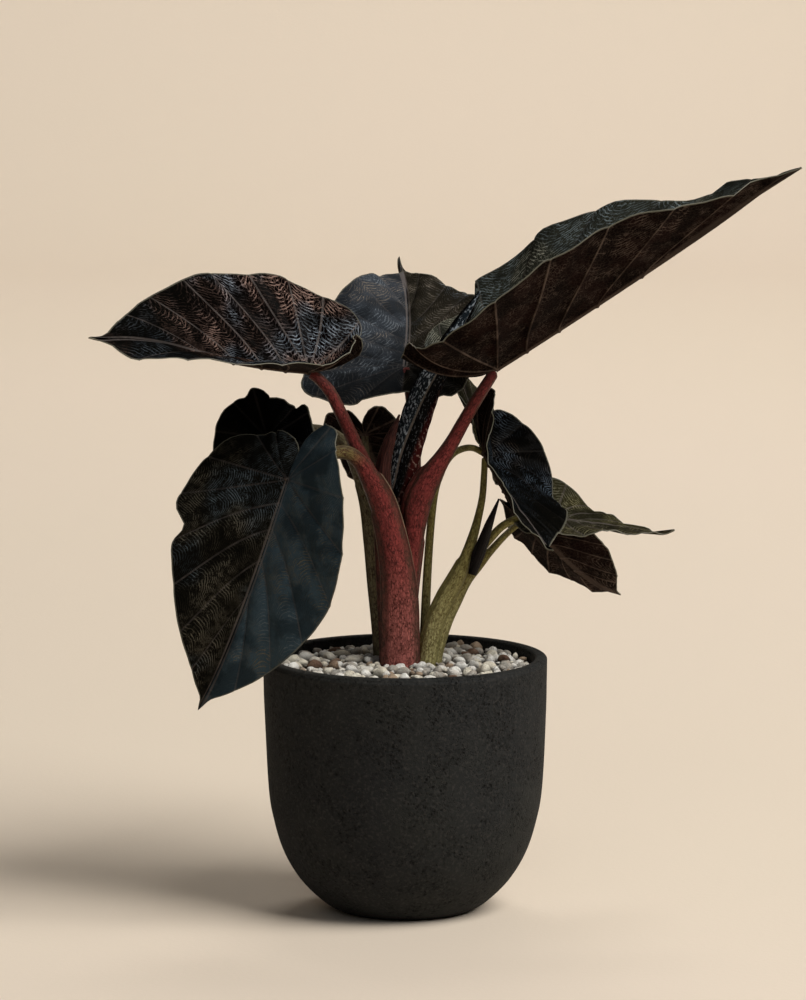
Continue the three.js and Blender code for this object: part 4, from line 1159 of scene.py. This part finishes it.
def lathe_sheet(profile, sides, wobble):
    """A closed turned surface from radius and height pairs that start and end on the axis."""
    turn = directions(sides)
    ring = np.array(profile[1:-1])
    radii = ring[:, 0][:, None] + wobble(turn[None], ring[:, 1][:, None])
    points = np.stack([radii * np.cos(turn), radii * np.sin(turn),
                       np.repeat(ring[:, 1][:, None], sides, 1)], -1).reshape(-1, 3)
    sheet = Sheet()
    poles = [(0, 0, profile[0][1]), (0, 0, profile[-1][1])]
    first = len(points)
    faces = grid_faces(len(ring), sides, round_columns=True)
    last_ring = (len(ring) - 1) * sides
    for j in range(sides):
        k = (j + 1) % sides
        faces.append((k, j, first))
        faces.append((last_ring + j, last_ring + k, first + 1))
    sheet.add(np.vstack([points, poles]), faces, 0)
    return sheet


def pot_profile(settings):
    """The pot's section from the middle of the foot, up the wall, over the lip and back in."""
    foot_radius = POT_WALL_POINTS[0][0]
    foot_bevel = 1.4
    foot_bevel_height = 0.6
    shoulder_height = 122
    lip_power = 0.7
    lip_height = settings.lip / MM
    lip_start = POT_HEIGHT - lip_height
    half_wall = POT_WALL / 2
    upper = [(POT_RIM_RADIUS - 0.2, shoulder_height), (POT_RIM_RADIUS, lip_start)]
    wall = smooth_points(POT_WALL_POINTS + upper, np.linspace(0, 1, 70))
    wall[0] = (foot_radius, foot_bevel_height)
    turn = np.linspace(0, math.pi, 15)
    aside = np.sign(np.cos(turn)) * np.abs(np.cos(turn)) ** lip_power
    lip = np.stack([POT_RIM_RADIUS - half_wall + half_wall * aside,
                    POT_HEIGHT - lip_height * (1 - np.sin(turn) ** lip_power)], -1)
    heights = np.linspace(lip_start - 1, POT_FLOOR + 6, 30)
    inside = np.stack([np.minimum(inner_radius(heights), POT_RIM_RADIUS - POT_WALL), heights], -1)
    foot = [(0, 0), (foot_radius - foot_bevel, 0)]
    floor = [(inner_radius(POT_FLOOR) - 1, POT_FLOOR), (0, POT_FLOOR)]
    return [*foot, *map(tuple, wall), *map(tuple, lip), *map(tuple, inside), *floor]


def build_pot(settings):
    """The round-bottomed pot, a little uneven as cast ware is."""
    def wobble(turn, height):
        slow = 0.18 * np.sin(2 * turn + height / 31) + 0.1 * np.sin(5 * turn - height / 17)
        return slow * smooth_step(0, 12, height)

    sheet = lathe_sheet(pot_profile(settings), 144, wobble)
    turn_outward(sheet)
    return make_piece("cast_pot", sheet, [pot_material(settings)], "pot")


def turn_outward(sheet):
    """Turns the faces of a closed sheet over if they point in."""
    points = np.concatenate(sheet.points)
    volume = 0.0
    for face in sheet.faces:
        a = points[face[0]]
        for b, c in zip(face[1:], face[2:]):
            volume += np.dot(a, np.cross(points[b], points[c]))
    if volume < 0:
        sheet.faces = [face[::-1] for face in sheet.faces]


def pot_material(settings):
    """Matte charcoal with clustered pits, fine grain and a faint warm and cool drift."""
    look = Look("charcoal_ware")
    drift = look.noise(14.0, 3.0).between(0.35, 0.68)
    grain = look.noise(620.0, 4.0, 0.7)
    clusters = look.noise(42.0, 4.0, 0.65).between(0.42, 0.58)
    specks = look.noise(420.0, 3.0, 0.6).between(0.5, 0.6)
    pits = look.cells(420.0).between(0.46, 0.2) * clusters * (specks * 0.7 + 0.3)
    small = look.cells(900.0).between(0.42, 0.16) * look.noise(80.0, 3.0).between(0.38, 0.54)
    colour = look.layers(
        settings.clay,
        (drift, settings.clay_warm),
        (grain.between(0.46, 0.72) * 0.8, settings.clay_pale),
        (specks * clusters * 0.5, settings.pit),
        (pits * 0.85 + small * 0.6, settings.pit),
    )
    height = grain * 0.45 - pits - small * 0.6
    return look.surface(colour, 0.82 + grain * 0.12, height, 0.0005, Specular_IOR_Level=0.15)


def mix_material(settings):
    """Loose dark peat with bark and a few pale grains."""
    look = Look("peat_mix")
    lumps = look.noise(160.0, 5.0, 0.65)
    bark = look.cells(260.0).between(0.5, 0.1)
    grains = look.cells(420.0).between(0.12, 0.04)
    colour = look.layers(settings.peat, (lumps.between(0.35, 0.7), settings.bark),
                         (grains * 0.7, settings.pale))
    return look.surface(colour, 0.95, lumps + bark * 0.5, 0.002, Specular_IOR_Level=0.2)


def topping_level(radius):
    """Height of the topping's domed middle surface at a radius."""
    share = radius / float(inner_radius(TOPPING_LEVEL))
    return TOPPING_LEVEL + TOPPING_DOME * (1 - share ** 2)


def in_a_stalk(x, y, room):
    """True where points are in a stalk's foot, grown by some room."""
    inside = np.zeros(x.shape, bool)
    for stalk in [*STALKS.values(), ROLLED_LEAF]:
        dx = (x - stalk["path"][1][0]) / (stalk["across"][1] + room)
        dy = (y - stalk["path"][1][1]) / (stalk["deep"][1] + room)
        inside |= dx ** 2 + dy ** 2 < 1
    return inside


def round_shell(detail):
    """Points and faces of a ball of triangles with a radius of 1."""
    mesh = bpy.data.meshes.new("ball")
    work = bmesh.new()
    bmesh.ops.create_icosphere(work, subdivisions=detail, radius=1.0)
    work.to_mesh(mesh)
    work.free()
    points = np.array([v.co for v in mesh.vertices])
    faces = [tuple(p.vertices) for p in mesh.polygons]
    bpy.data.meshes.remove(mesh)
    return points, faces


def pebble(ball, size, rng):
    """A rough pebble: a ball cut by random flats, with small dents."""
    flats = 9
    flattening = 0.9
    dents = 7
    dent_width = 0.12
    points = ball.copy()
    for _ in range(flats):
        normal = unit(rng.normal(size=3))
        cut = rng.uniform(0.55, 0.95)
        over = points @ normal - cut
        points -= np.clip(over, 0, None)[:, None] * normal * flattening
    spots = unit(rng.normal(size=(dents, 3)))
    push = np.exp(-((1 - ball @ spots.T) / dent_width)) @ rng.uniform(-0.14, 0.1, dents)
    points = points * (1 + push)[:, None]
    stretch = np.array([rng.uniform(0.85, 1.3), rng.uniform(0.8, 1.1), rng.uniform(0.62, 0.95)])
    axes, _ = np.linalg.qr(rng.normal(size=(3, 3)))
    return (points * stretch * size) @ axes.T


def scatter(count, sizes, rng, reach, taken, spacing):
    """The taken spots (x, y, size) with new ones that keep apart from them and the stalks."""
    tries_each = 60
    wall_room = 0.95
    stalk_room = 0.55
    tries = count * tries_each
    size = rng.uniform(*sizes, tries)
    radius = (reach - size * wall_room) * np.sqrt(rng.uniform(0, 1, tries))
    turn = rng.uniform(0, math.tau, tries)
    x = radius * np.cos(turn)
    y = radius * np.sin(turn)
    open_spots = np.stack([x, y, size], -1)[~in_a_stalk(x, y, size * stalk_room)]
    found = taken
    for spot in open_spots:
        apart = np.hypot(found[:, 0] - spot[0], found[:, 1] - spot[1])
        if np.all(apart >= (found[:, 2] + spot[2]) * spacing):
            found = np.vstack([found, spot])
        if len(found) == len(taken) + count:
            break
    return found


def build_topping(settings):
    """Pumice pebbles of three sizes over a bed of dark grit."""
    wall_gap = 0.2
    rng = np.random.default_rng(settings.seed)
    reach = float(inner_radius(TOPPING_LEVEL)) - wall_gap
    sheet = Sheet()
    # Of each size: number, smallest and largest radius, fineness, spacing as a share of the
    # two radii, and height above the bed's middle surface
    groups = [
        (settings.large_count, (3.4, 4.9), 3, 0.86, -0.4),
        (settings.middle_count, (2.3, 3.4), 2, 0.82, -0.7),
        (settings.small_count, (1.2, 2.2), 2, 0.7, -1.0),
    ]
    spots = np.zeros((0, 3))
    for count, sizes, detail, spacing, lift in groups:
        ball, faces = round_shell(detail)
        taken = len(spots)
        spots = scatter(count, sizes, rng, reach, spots, spacing)
        for x, y, size in spots[taken:]:
            points = pebble(ball, size, rng)
            rise = topping_level(math.hypot(x, y)) + lift + rng.uniform(-1.0, 1.1)
            # Painted shade: a mask of each pebble's lower part, darkened in the stone's material
            under = smooth_step(0.75, -0.1, points[:, 2] / points[:, 2].max())
            sheet.add(points + (x, y, rise), faces, 0, tone=rng.uniform(0, 1), under=under)
    make_piece("pumice_pebbles", sheet, [pumice_material(settings)],
               "pumice_topping")
    build_grit_bed(settings, rng, reach)


def build_grit_bed(settings, rng, reach):
    """The uneven dark layer that shows between the pebbles."""
    rings = 45
    sides = 120
    depth = 3.4
    lowest = TOPPING_LEVEL - 9
    turn = directions(sides)
    radius = np.linspace(0, 1, rings + 1)[1:, None] * (reach + 0.1)
    waves = 4
    wave_height = 0.4
    phases = rng.uniform(0, math.tau, (waves, 2))
    lumps = sum(np.sin(radius * (0.4 + 0.23 * k) + phases[k, 0])
                * np.sin((5 + 4 * k) * turn + phases[k, 1]) for k in range(waves))
    height = topping_level(radius) - depth + wave_height * lumps
    top = np.stack([radius * np.cos(turn), radius * np.sin(turn), height], -1).reshape(-1, 3)
    skirt = top[-sides:].copy()
    skirt[:, 2] = lowest
    middle = [(0, 0, float(topping_level(0)) - depth)]
    points = np.vstack([top, middle, skirt, [(0, 0, lowest)]])
    centre = len(top)
    outer = centre - sides
    low = centre + 1
    faces = grid_faces(rings, sides, round_columns=True)
    faces += [(centre, j, (j + 1) % sides) for j in range(sides)]
    for j in range(sides):
        k = (j + 1) % sides
        faces.append((outer + j, low + j, low + k, outer + k))
        faces.append((low + j, low + sides, low + k))
    sheet = Sheet()
    sheet.add(points, faces, 0)
    turn_outward(sheet)
    make_piece("grit_bed", sheet, [mix_material(settings)])


def pumice_material(settings):
    """Rough pale stone, white to tan with a few brown pieces, small pores and painted shade below.
    """
    look = Look("pumice_stone")
    tone = look.value_at("tone")
    blotch = look.noise(210.0, 4.0, 0.6).between(0.42, 0.64)
    pores = look.cells(1300.0).between(0.34, 0.12) * look.noise(380.0, 2.0).between(0.44, 0.6)
    colour = look.layers(
        settings.white,
        (tone.between(0.3, 0.6), settings.cream),
        (tone.between(0.68, 0.72) * 0.85, settings.grey),
        (tone.between(0.86, 0.88) * 0.85, settings.tan),
        (tone.between(0.95, 0.96) * 0.9, settings.brown),
        (blotch * 0.3, settings.tan),
        (pores * 0.75, settings.brown),
        # Painted shade: each pebble darkened towards its lower part
        (look.value_at("under") * 0.8, settings.under_shade),
    )
    height = look.noise(480.0, 5.0, 0.75) - pores * 0.7
    return look.surface(colour, 0.9, height, 0.0018, Specular_IOR_Level=0.15)


# Stage

def build_floor(settings):
    """A wide pale floor that curves up into a backdrop well behind the plant."""
    floor_reach = 9.0
    bend_radius = 0.9
    bend_start = 3.4
    wall_top = 4.0
    turn = np.linspace(0, math.pi / 2, 24)
    bend = [(bend_start + bend_radius * math.sin(t), bend_radius * (1 - math.cos(t)))
            for t in turn]
    line = [(-floor_reach, 0.0), (0.0, 0.0), *bend, (bend_start + bend_radius, wall_top)]
    points = [(x, y, z) for y, z in line for x in (-floor_reach, floor_reach)]
    mesh = bpy.data.meshes.new("floor")
    mesh.from_pydata(points, [], grid_faces(len(line), 2))
    mesh.polygons.foreach_set("use_smooth", [True] * len(mesh.polygons))
    mesh.materials.append(floor_material(settings))
    floor = bpy.data.objects.new("floor", mesh)
    bpy.context.scene.collection.objects.link(floor)


def build_stage(settings):
    """The floor with its backdrop, three lights, a faintly lit room and the camera."""
    build_floor(settings)
    plant_middle = (0.0, 0.0, 0.19)
    backdrop_foot = (0.0, 4.2, 0.0)
    add_light("key_light", settings.key_place, plant_middle, settings.key_size,
              settings.key_power, settings.key_colour)
    add_light("fill_light", settings.fill_place, plant_middle, settings.fill_size,
              settings.fill_power, settings.fill_colour)
    add_light("back_light", settings.back_place, backdrop_foot, settings.back_size,
              settings.back_power, settings.back_colour)
    world = bpy.data.worlds.new("studio")
    world.use_nodes = True
    background = world.node_tree.nodes["Background"]
    background.inputs["Color"].default_value = opaque(settings.room_colour)
    background.inputs["Strength"].default_value = settings.room_strength
    bpy.context.scene.world = world
    bpy.context.scene.view_settings.view_transform = "Standard"
    add_camera(settings)


def floor_material(settings):
    """Matte paper."""
    look = Look("backdrop_paper")
    drift = look.noise(0.8, 2.0).between(0.3, 0.7)
    colour = look.mix(drift * 0.35, settings.paper, settings.paper_rosy)
    return look.surface(colour, 0.9, look.noise(300.0, 2.0), 0.0001, Specular_IOR_Level=0.2)


def add_light(name, place, target, size, power, colour):
    """A soft square light aimed at a point."""
    data = bpy.data.lights.new(name, "AREA")
    data.shape = "SQUARE"
    data.size = size
    data.energy = power
    data.color = colour
    light = bpy.data.objects.new(name, data)
    light.location = place
    x, y, z = np.array(target) - np.array(light.location)
    light.rotation_euler = (math.atan2(math.hypot(x, y), -z), 0.0, math.atan2(-x, y))
    bpy.context.scene.collection.objects.link(light)


def add_camera(settings):
    """The photo's camera: a long lens, a little above the plant and looking slightly down."""
    data = bpy.data.cameras.new("camera")
    data.sensor_width = 36.0
    data.lens = settings.focal_pixels / PHOTO_HEIGHT * data.sensor_width
    data.clip_end = 50.0
    camera = bpy.data.objects.new("camera", data)
    camera.location = settings.camera_place
    camera.rotation_euler = (math.pi / 2 - settings.camera_pitch, 0.0, 0.0)
    bpy.context.scene.collection.objects.link(camera)
    bpy.context.scene.camera = camera


# Settings that a user would change

def colour_setting(label, words, default):
    """A colour property."""
    return FloatVectorProperty(name=label, description=words, subtype="COLOR", size=3, min=0.0,
                               max=1.0, default=default)


def length_setting(label, words, default):
    """A length property in metres."""
    return FloatProperty(name=label, description=words, unit="LENGTH", subtype="DISTANCE",
                         min=0.0, default=default)


def place_setting(label, words, default):
    """A place property in metres."""
    return FloatVectorProperty(name=label, description=words, unit="LENGTH",
                               subtype="TRANSLATION", size=3, default=default)


def number_setting(label, words, default, **limits):
    """A plain number property."""
    return FloatProperty(name=label, description=words, default=default, **limits)


def count_setting(label, words, default, low, high):
    """A whole number property."""
    return IntProperty(name=label, description=words, default=default, min=low, max=high)


def power_setting(label, words, default):
    """A power property of a light."""
    return FloatProperty(name=label, description=words, unit="POWER", min=0.0, default=default)


def group_setting(label, kind):
    """A property that holds a group of settings."""
    return PointerProperty(name=label, description=f"{label} settings", type=kind)


class AlocasiaPotSettings(bpy.types.PropertyGroup):
    """Sizes and colours of the pot."""
    lip: length_setting("Lip rounding", "Height over which the lip rounds over", 0.0022)
    clay: colour_setting("Clay", "Main colour of the pot", (0.0142, 0.0152, 0.0158))
    clay_warm: colour_setting("Warm clay", "Colour the clay drifts to", (0.0182, 0.0192, 0.0178))
    clay_pale: colour_setting("Pale grain", "Colour of the fine grain", (0.04, 0.038, 0.036))
    pit: colour_setting("Pits", "Colour in the pits", (0.002, 0.002, 0.0018))


class AlocasiaBladeSettings(bpy.types.PropertyGroup):
    """Sizes and colours of the leaf blades."""
    thickness: length_setting("Thickness", "Thickness of a blade in the middle", 0.0008)
    vein_ridge: length_setting("Side vein", "Height of a side vein below the blade", 0.0006)
    rib_ridge: length_setting("Midrib", "Height of the midrib below the blade", 0.0014)
    underside_gloss: number_setting("Underside gloss", "Strength of the underside's coat", 0.03,
                                    min=0.0, max=1.0)
    lobe_vein: number_setting("Lobe vein", "Share of the outline where the lobe's vein ends",
                              0.21, min=0.1, max=0.3)
    side_veins: count_setting("Side veins", "Side veins ahead of the stalk on each half", 6, 3, 7)
    # Painted shade: the colour of a blade's ground where its painted light is off, and of random
    # patches
    deep: colour_setting("Deep", "Colour of the darkest patches", (0.0022, 0.0022, 0.0018))
    vein_line: colour_setting("Vein line", "Colour of the veins above", (0.17, 0.145, 0.135))
    olive: colour_setting("Olive rim", "Colour the thin edge drifts to", (0.07, 0.066, 0.025))
    rim: colour_setting("Rim", "Colour of the thin edge", (0.14, 0.135, 0.105))
    gleam: colour_setting("Gleam", "Colour of the leaf's gleam", (0.62, 0.8, 1.0))


class AlocasiaStalkSettings(bpy.types.PropertyGroup):
    """Fineness and finish of the stalks."""
    steps: count_setting("Steps", "Steps along a stalk", 120, 24, 200)
    sides: count_setting("Sides", "Sides round a stalk", 56, 12, 96)
    roughness: number_setting("Roughness", "Roughness of the skin", 0.4, min=0.0, max=1.0)
    seed: IntProperty(name="Seed", description="Seed of the stalks' faint ribs", default=17)
    clearance: length_setting("Clearance", "How far a stalk ends below its blade", 0.002)
    green: colour_setting("Green", "Colour of a stalk's olive upper end", (0.2, 0.165, 0.06))
    # Painted shade: where round the stalk its two darkened side stripes lie
    side_shade_turn: number_setting("Stripe", "Degrees from the front to each dusky stripe", 66.0)


class AlocasiaRolledSettings(bpy.types.PropertyGroup):
    """Colours of the rolled leaf."""
    body: colour_setting("Body", "Main colour", (0.0016, 0.0015, 0.0016))
    second: colour_setting("Second", "Colour of its small flecks", (0.07, 0.074, 0.08))
    slate: colour_setting("Slate", "Colour beside the free edge", (0.022, 0.032, 0.042))
    fleck: colour_setting("Flecks", "Colour of the flecks on the slate", (0.36, 0.4, 0.44))
    maroon: colour_setting("Maroon", "Colour of the underside strip", (0.05, 0.009, 0.008))
    dash: colour_setting("Dashes", "Colour of the pale dashes", (0.34, 0.22, 0.18))
    edge: colour_setting("Edge", "Colour of the free edge", (0.16, 0.14, 0.12))
    gleam: colour_setting("Gleam", "Colour of the gleam", (0.7, 0.85, 1.0))


class AlocasiaToppingSettings(bpy.types.PropertyGroup):
    """Numbers and colours of the topping and the mix."""
    seed: IntProperty(name="Seed", description="Seed of the pebbles' places", default=4924)
    large_count: count_setting("Large pebbles", "Number of large pebbles", 120, 0, 300)
    middle_count: count_setting("Middle pebbles", "Number of middling pebbles", 240, 0, 500)
    small_count: count_setting("Small pebbles", "Number of small pebbles", 260, 0, 500)
    white: colour_setting("White", "Colour of the palest pebbles", (0.97, 0.96, 0.91))
    cream: colour_setting("Cream", "Colour of the cream pebbles", (0.9, 0.85, 0.71))
    grey: colour_setting("Grey", "Colour of the grey pebbles", (0.4, 0.38, 0.35))
    tan: colour_setting("Tan", "Colour of the tan pebbles", (0.42, 0.3, 0.2))
    # Painted shade laid on the lower part of each pebble
    under_shade: colour_setting("Dust", "Dark grit on the pebbles' undersides", (0.03, 0.022, 0.016))
    brown: colour_setting("Brown", "Colour of the brown pebbles", (0.12, 0.06, 0.042))
    peat: colour_setting("Peat", "Colour of the dark mix", (0.012, 0.009, 0.007))
    bark: colour_setting("Bark", "Colour of the bark in the mix", (0.035, 0.022, 0.014))
    pale: colour_setting("Grains", "Colour of pale grains in the mix", (0.3, 0.27, 0.22))


class AlocasiaStageSettings(bpy.types.PropertyGroup):
    """Floor, lights and camera."""
    paper: colour_setting("Paper", "Colour of the backdrop", (0.73, 0.64, 0.53))
    paper_rosy: colour_setting("Rosy paper", "Colour it drifts to", (0.76, 0.65, 0.56))
    room_colour: colour_setting("Room", "Colour of the room's light", (1.0, 0.97, 0.92))
    room_strength: number_setting("Room strength", "Strength of the room's light", 0.04, min=0.0)
    key_place: place_setting("Key place", "Place of the main light", (2.5, -1.5, 3.3))
    key_size: length_setting("Key size", "Side of the main light", 3.0)
    key_power: power_setting("Key power", "Power of the main light", 238.0)
    key_colour: colour_setting("Key colour", "Colour of the main light", (1.0, 0.97, 0.92))
    fill_place: place_setting("Fill place", "Place of the fill light", (-0.6, -2.4, 1.9))
    fill_size: length_setting("Fill size", "Side of the fill light", 1.4)
    fill_power: power_setting("Fill power", "Power of the fill light", 5.0)
    fill_colour: colour_setting("Fill colour", "Colour of the fill light", (0.86, 0.93, 1.0))
    back_place: place_setting("Back place", "Place of the backdrop's light", (0.3, 2.4, 3.2))
    back_size: length_setting("Back size", "Side of the backdrop's light", 1.6)
    back_power: power_setting("Back power", "Power of the backdrop's light", 56.0)
    back_colour: colour_setting("Back colour", "Colour of the backdrop's light", (1.0, 0.98, 0.95))
    camera_place: place_setting("Camera place", "Place of the camera", (-0.0012, -3.0, 0.634))
    camera_pitch: FloatProperty(name="Camera pitch", description="How far it looks down",
                                subtype="ANGLE", default=math.radians(7.92))
    focal_pixels: number_setting("Focal length", "Focal length in pixels of the photo", 5796.0,
                                 min=1.0)


class AlocasiaSettings(bpy.types.PropertyGroup):
    """All settings of the plant, its pot and the stage."""
    pot: group_setting("Pot", AlocasiaPotSettings)
    blades: group_setting("Blades", AlocasiaBladeSettings)
    stalks: group_setting("Stalks", AlocasiaStalkSettings)
    rolled: group_setting("Rolled leaf", AlocasiaRolledSettings)
    topping: group_setting("Topping", AlocasiaToppingSettings)
    stage: group_setting("Stage", AlocasiaStageSettings)


# The upper faces of the leaves: colours of the left and right halves, where the blue left halves
# of two tints are a painted sheen, of the fine lines and of their patches of painted sheen,
# strength of the lines and of the side veins, spacing of the lines in mm, shares of the length
# between which the painted light comes up on the lines and the ground, and gloss and roughness
# of the coat
EVERYWHERE = (-2.0, -1.0)
BLADE_TINTS = {
    "black_top": {
        "left": (0.0016, 0.0016, 0.0013), "right": (0.0022, 0.0018, 0.0014),
        "line": (0.035, 0.029, 0.022), "sheen": (0.02, 0.023, 0.026), "share": 0.55,
        "vein": 0.08, "spacing": 1.9, "painted_light": EVERYWHERE, "gloss": 0.03, "roughness": 0.35,
    },
    # Its painted light covers only the part near the stalk: a painted glint patch
    "glossy_top": {
        "left": (0.0013, 0.0012, 0.0011), "right": (0.0013, 0.0014, 0.0017),
        "line": (0.06, 0.048, 0.038), "sheen": (0.13, 0.17, 0.22), "share": 0.75,
        "vein": 0.04, "spacing": 1.9, "painted_light": (0.36, 0.12), "gloss": 0.03, "roughness": 0.14,
    },
    # Its blue left half is a painted sheen
    "sheen_half_top": {
        "left": (0.038, 0.062, 0.08), "right": (0.005, 0.0045, 0.0032),
        "line": (0.13, 0.115, 0.085), "sheen": (0.1, 0.125, 0.14), "share": 0.95,
        "vein": 0.22, "spacing": 1.55, "painted_light": EVERYWHERE, "gloss": 0.03, "roughness": 0.35,
    },
    # Its blue-grey left half is a painted sheen
    "stormy_sheen_top": {
        "left": (0.036, 0.042, 0.052), "right": (0.023, 0.0195, 0.013),
        "line": (0.2, 0.17, 0.14), "sheen": (0.18, 0.21, 0.24), "share": 0.85,
        "vein": 0.12, "spacing": 2.3, "painted_light": (-0.5, 0.4), "gloss": 0.05, "roughness": 0.35,
    },
    "russet_top": {
        "left": (0.0026, 0.0014, 0.0012), "right": (0.0022, 0.0014, 0.0013),
        "line": (0.34, 0.22, 0.18), "sheen": (0.27, 0.31, 0.36), "share": 0.9,
        "vein": 0.5, "spacing": 2.6, "painted_light": (0.72, 0.36), "gloss": 0.06, "roughness": 0.2,
    },
    "mossy_top": {
        "left": (0.028, 0.029, 0.022), "right": (0.008, 0.0065, 0.005),
        "line": (0.34, 0.33, 0.26), "sheen": (0.2, 0.24, 0.25), "share": 0.95,
        "vein": 0.2, "spacing": 2.4, "painted_light": EVERYWHERE, "gloss": 0.03, "roughness": 0.4,
    },
    "olive_top": {
        "left": (0.022, 0.02, 0.0095), "right": (0.022, 0.019, 0.011),
        "line": (0.24, 0.215, 0.11), "sheen": (0.15, 0.145, 0.1), "share": 0.85,
        "vein": 0.3, "spacing": 1.9, "painted_light": EVERYWHERE, "gloss": 0.03, "roughness": 0.4,
    },
}

# The undersides: two colours of the skin, colour of the veins, and spacing of the lines in mm
UNDERSIDE_TINTS = {
    "maroon": {"body": (0.0026, 0.001, 0.0007), "second": (0.0085, 0.0034, 0.0026),
               "vein": (0.12, 0.088, 0.07), "spacing": 2.6},
    "olive": {"body": (0.012, 0.01, 0.0055), "second": (0.022, 0.018, 0.01),
              "vein": (0.12, 0.105, 0.065), "spacing": 2.0},
}

# Each kind of stalk: body, dark mottling, pale edge, foot and the painted shade of its side
# stripes
STALK_TINTS = {
    "red_stalk": ((0.27, 0.047, 0.044), (0.05, 0.011, 0.009), (0.3, 0.23, 0.15),
                  (0.56, 0.19, 0.16), (0.06, 0.036, 0.024)),
    "olive_stalk": ((0.4, 0.36, 0.12), (0.14, 0.105, 0.036), (0.48, 0.43, 0.23),
                    (0.5, 0.46, 0.22), (0.17, 0.15, 0.05)),
    "dusky_stalk": ((0.26, 0.23, 0.13), (0.06, 0.04, 0.025), (0.36, 0.32, 0.2),
                    (0.3, 0.26, 0.15), (0.1, 0.08, 0.045)),
}

# Each kind of spear: body, stripes and pale edges
SPEAR_TINTS = {
    "pink_spear": ((0.02, 0.006, 0.005), (0.085, 0.028, 0.022), (0.28, 0.19, 0.14)),
    "black_spear": ((0.003, 0.0024, 0.0024), (0.014, 0.009, 0.009), (0.05, 0.045, 0.03)),
}


# Operators

class ALOCASIA_OT_stage(bpy.types.Operator):
    """Makes the floor, the lights and the camera"""
    bl_idname = "alocasia.stage"
    bl_label = "Stage"

    def execute(self, context):
        build_stage(context.scene.alocasia.stage)
        return {"FINISHED"}


class ALOCASIA_OT_pot(bpy.types.Operator):
    """Makes the pot"""
    bl_idname = "alocasia.pot"
    bl_label = "Pot"

    def execute(self, context):
        build_pot(context.scene.alocasia.pot)
        return {"FINISHED"}


class ALOCASIA_OT_topping(bpy.types.Operator):
    """Makes the pumice topping and finishes the potting mix"""
    bl_idname = "alocasia.topping"
    bl_label = "Topping"

    def execute(self, context):
        settings = context.scene.alocasia.topping
        build_topping(settings)
        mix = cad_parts["potting_mix"]
        mix.data.materials.clear()
        mix.data.materials.append(mix_material(settings))
        return {"FINISHED"}


class ALOCASIA_OT_blades(bpy.types.Operator):
    """Makes the blades of the open leaves"""
    bl_idname = "alocasia.blades"
    bl_label = "Blades"

    def execute(self, context):
        settings = context.scene.alocasia.blades
        tops = {name: blade_top_material(f"blade_{name}", settings, tint)
                for name, tint in BLADE_TINTS.items()}
        unders = {name: blade_underside_material(f"underside_{name}", settings, tint)
                  for name, tint in UNDERSIDE_TINTS.items()}
        rim = blade_rim_material(settings)
        for name, leaf in LEAVES.items():
            under = unders["olive" if leaf["look"] == "olive_top" else "maroon"]
            build_blade(name, leaf, settings, [tops[leaf["look"]], under, rim])
        return {"FINISHED"}


class ALOCASIA_OT_stalks(bpy.types.Operator):
    """Makes the stalks of the open leaves"""
    bl_idname = "alocasia.stalks"
    bl_label = "Stalks"

    def execute(self, context):
        settings = context.scene.alocasia.stalks
        skins = {name: stalk_material(name, settings, tint)
                 for name, tint in STALK_TINTS.items()}
        rng = np.random.default_rng(settings.seed)
        for name, stalk in STALKS.items():
            build_stalk(name, stalk, settings, skins[stalk["look"]], rng)
        return {"FINISHED"}


class ALOCASIA_OT_new_growth(bpy.types.Operator):
    """Makes the rolled leaf and the spears"""
    bl_idname = "alocasia.new_growth"
    bl_label = "Rolled leaf and spears"

    def execute(self, context):
        settings = context.scene.alocasia.rolled
        build_rolled_leaf(rolled_leaf_material(settings))
        for name, spear in SPEARS.items():
            look = spear["look"]
            build_spear(name, spear, spear_material(look, *SPEAR_TINTS[look]))
        return {"FINISHED"}


class ALOCASIA_PT_panel(bpy.types.Panel):
    """Lists the builders of the plant, its pot and the stage"""
    bl_idname = "ALOCASIA_PT_panel"
    bl_label = "Potted alocasia"
    bl_space_type = "VIEW_3D"
    bl_region_type = "UI"
    bl_category = "Alocasia"

    def draw(self, context):
        for operator in OPERATORS:
            self.layout.operator(operator.bl_idname)


OPERATORS = (
    ALOCASIA_OT_stage,
    ALOCASIA_OT_pot,
    ALOCASIA_OT_topping,
    ALOCASIA_OT_blades,
    ALOCASIA_OT_stalks,
    ALOCASIA_OT_new_growth,
)
CLASSES = (
    AlocasiaPotSettings,
    AlocasiaBladeSettings,
    AlocasiaStalkSettings,
    AlocasiaRolledSettings,
    AlocasiaToppingSettings,
    AlocasiaStageSettings,
    AlocasiaSettings,
    *OPERATORS,
    ALOCASIA_PT_panel,
)


def register():
    """Registers the classes and the scene's settings."""
    for item in CLASSES:
        bpy.utils.register_class(item)
    bpy.types.Scene.alocasia = PointerProperty(type=AlocasiaSettings)


def unregister():
    """Removes the scene's settings and the classes."""
    del bpy.types.Scene.alocasia
    for item in reversed(CLASSES):
        bpy.utils.unregister_class(item)


def main():
    """Builds everything."""
    register()
    bpy.ops.alocasia.stage()
    bpy.ops.alocasia.pot()
    bpy.ops.alocasia.topping()
    bpy.ops.alocasia.blades()
    bpy.ops.alocasia.stalks()
    bpy.ops.alocasia.new_growth()


if __name__ == "__main__":
    main()
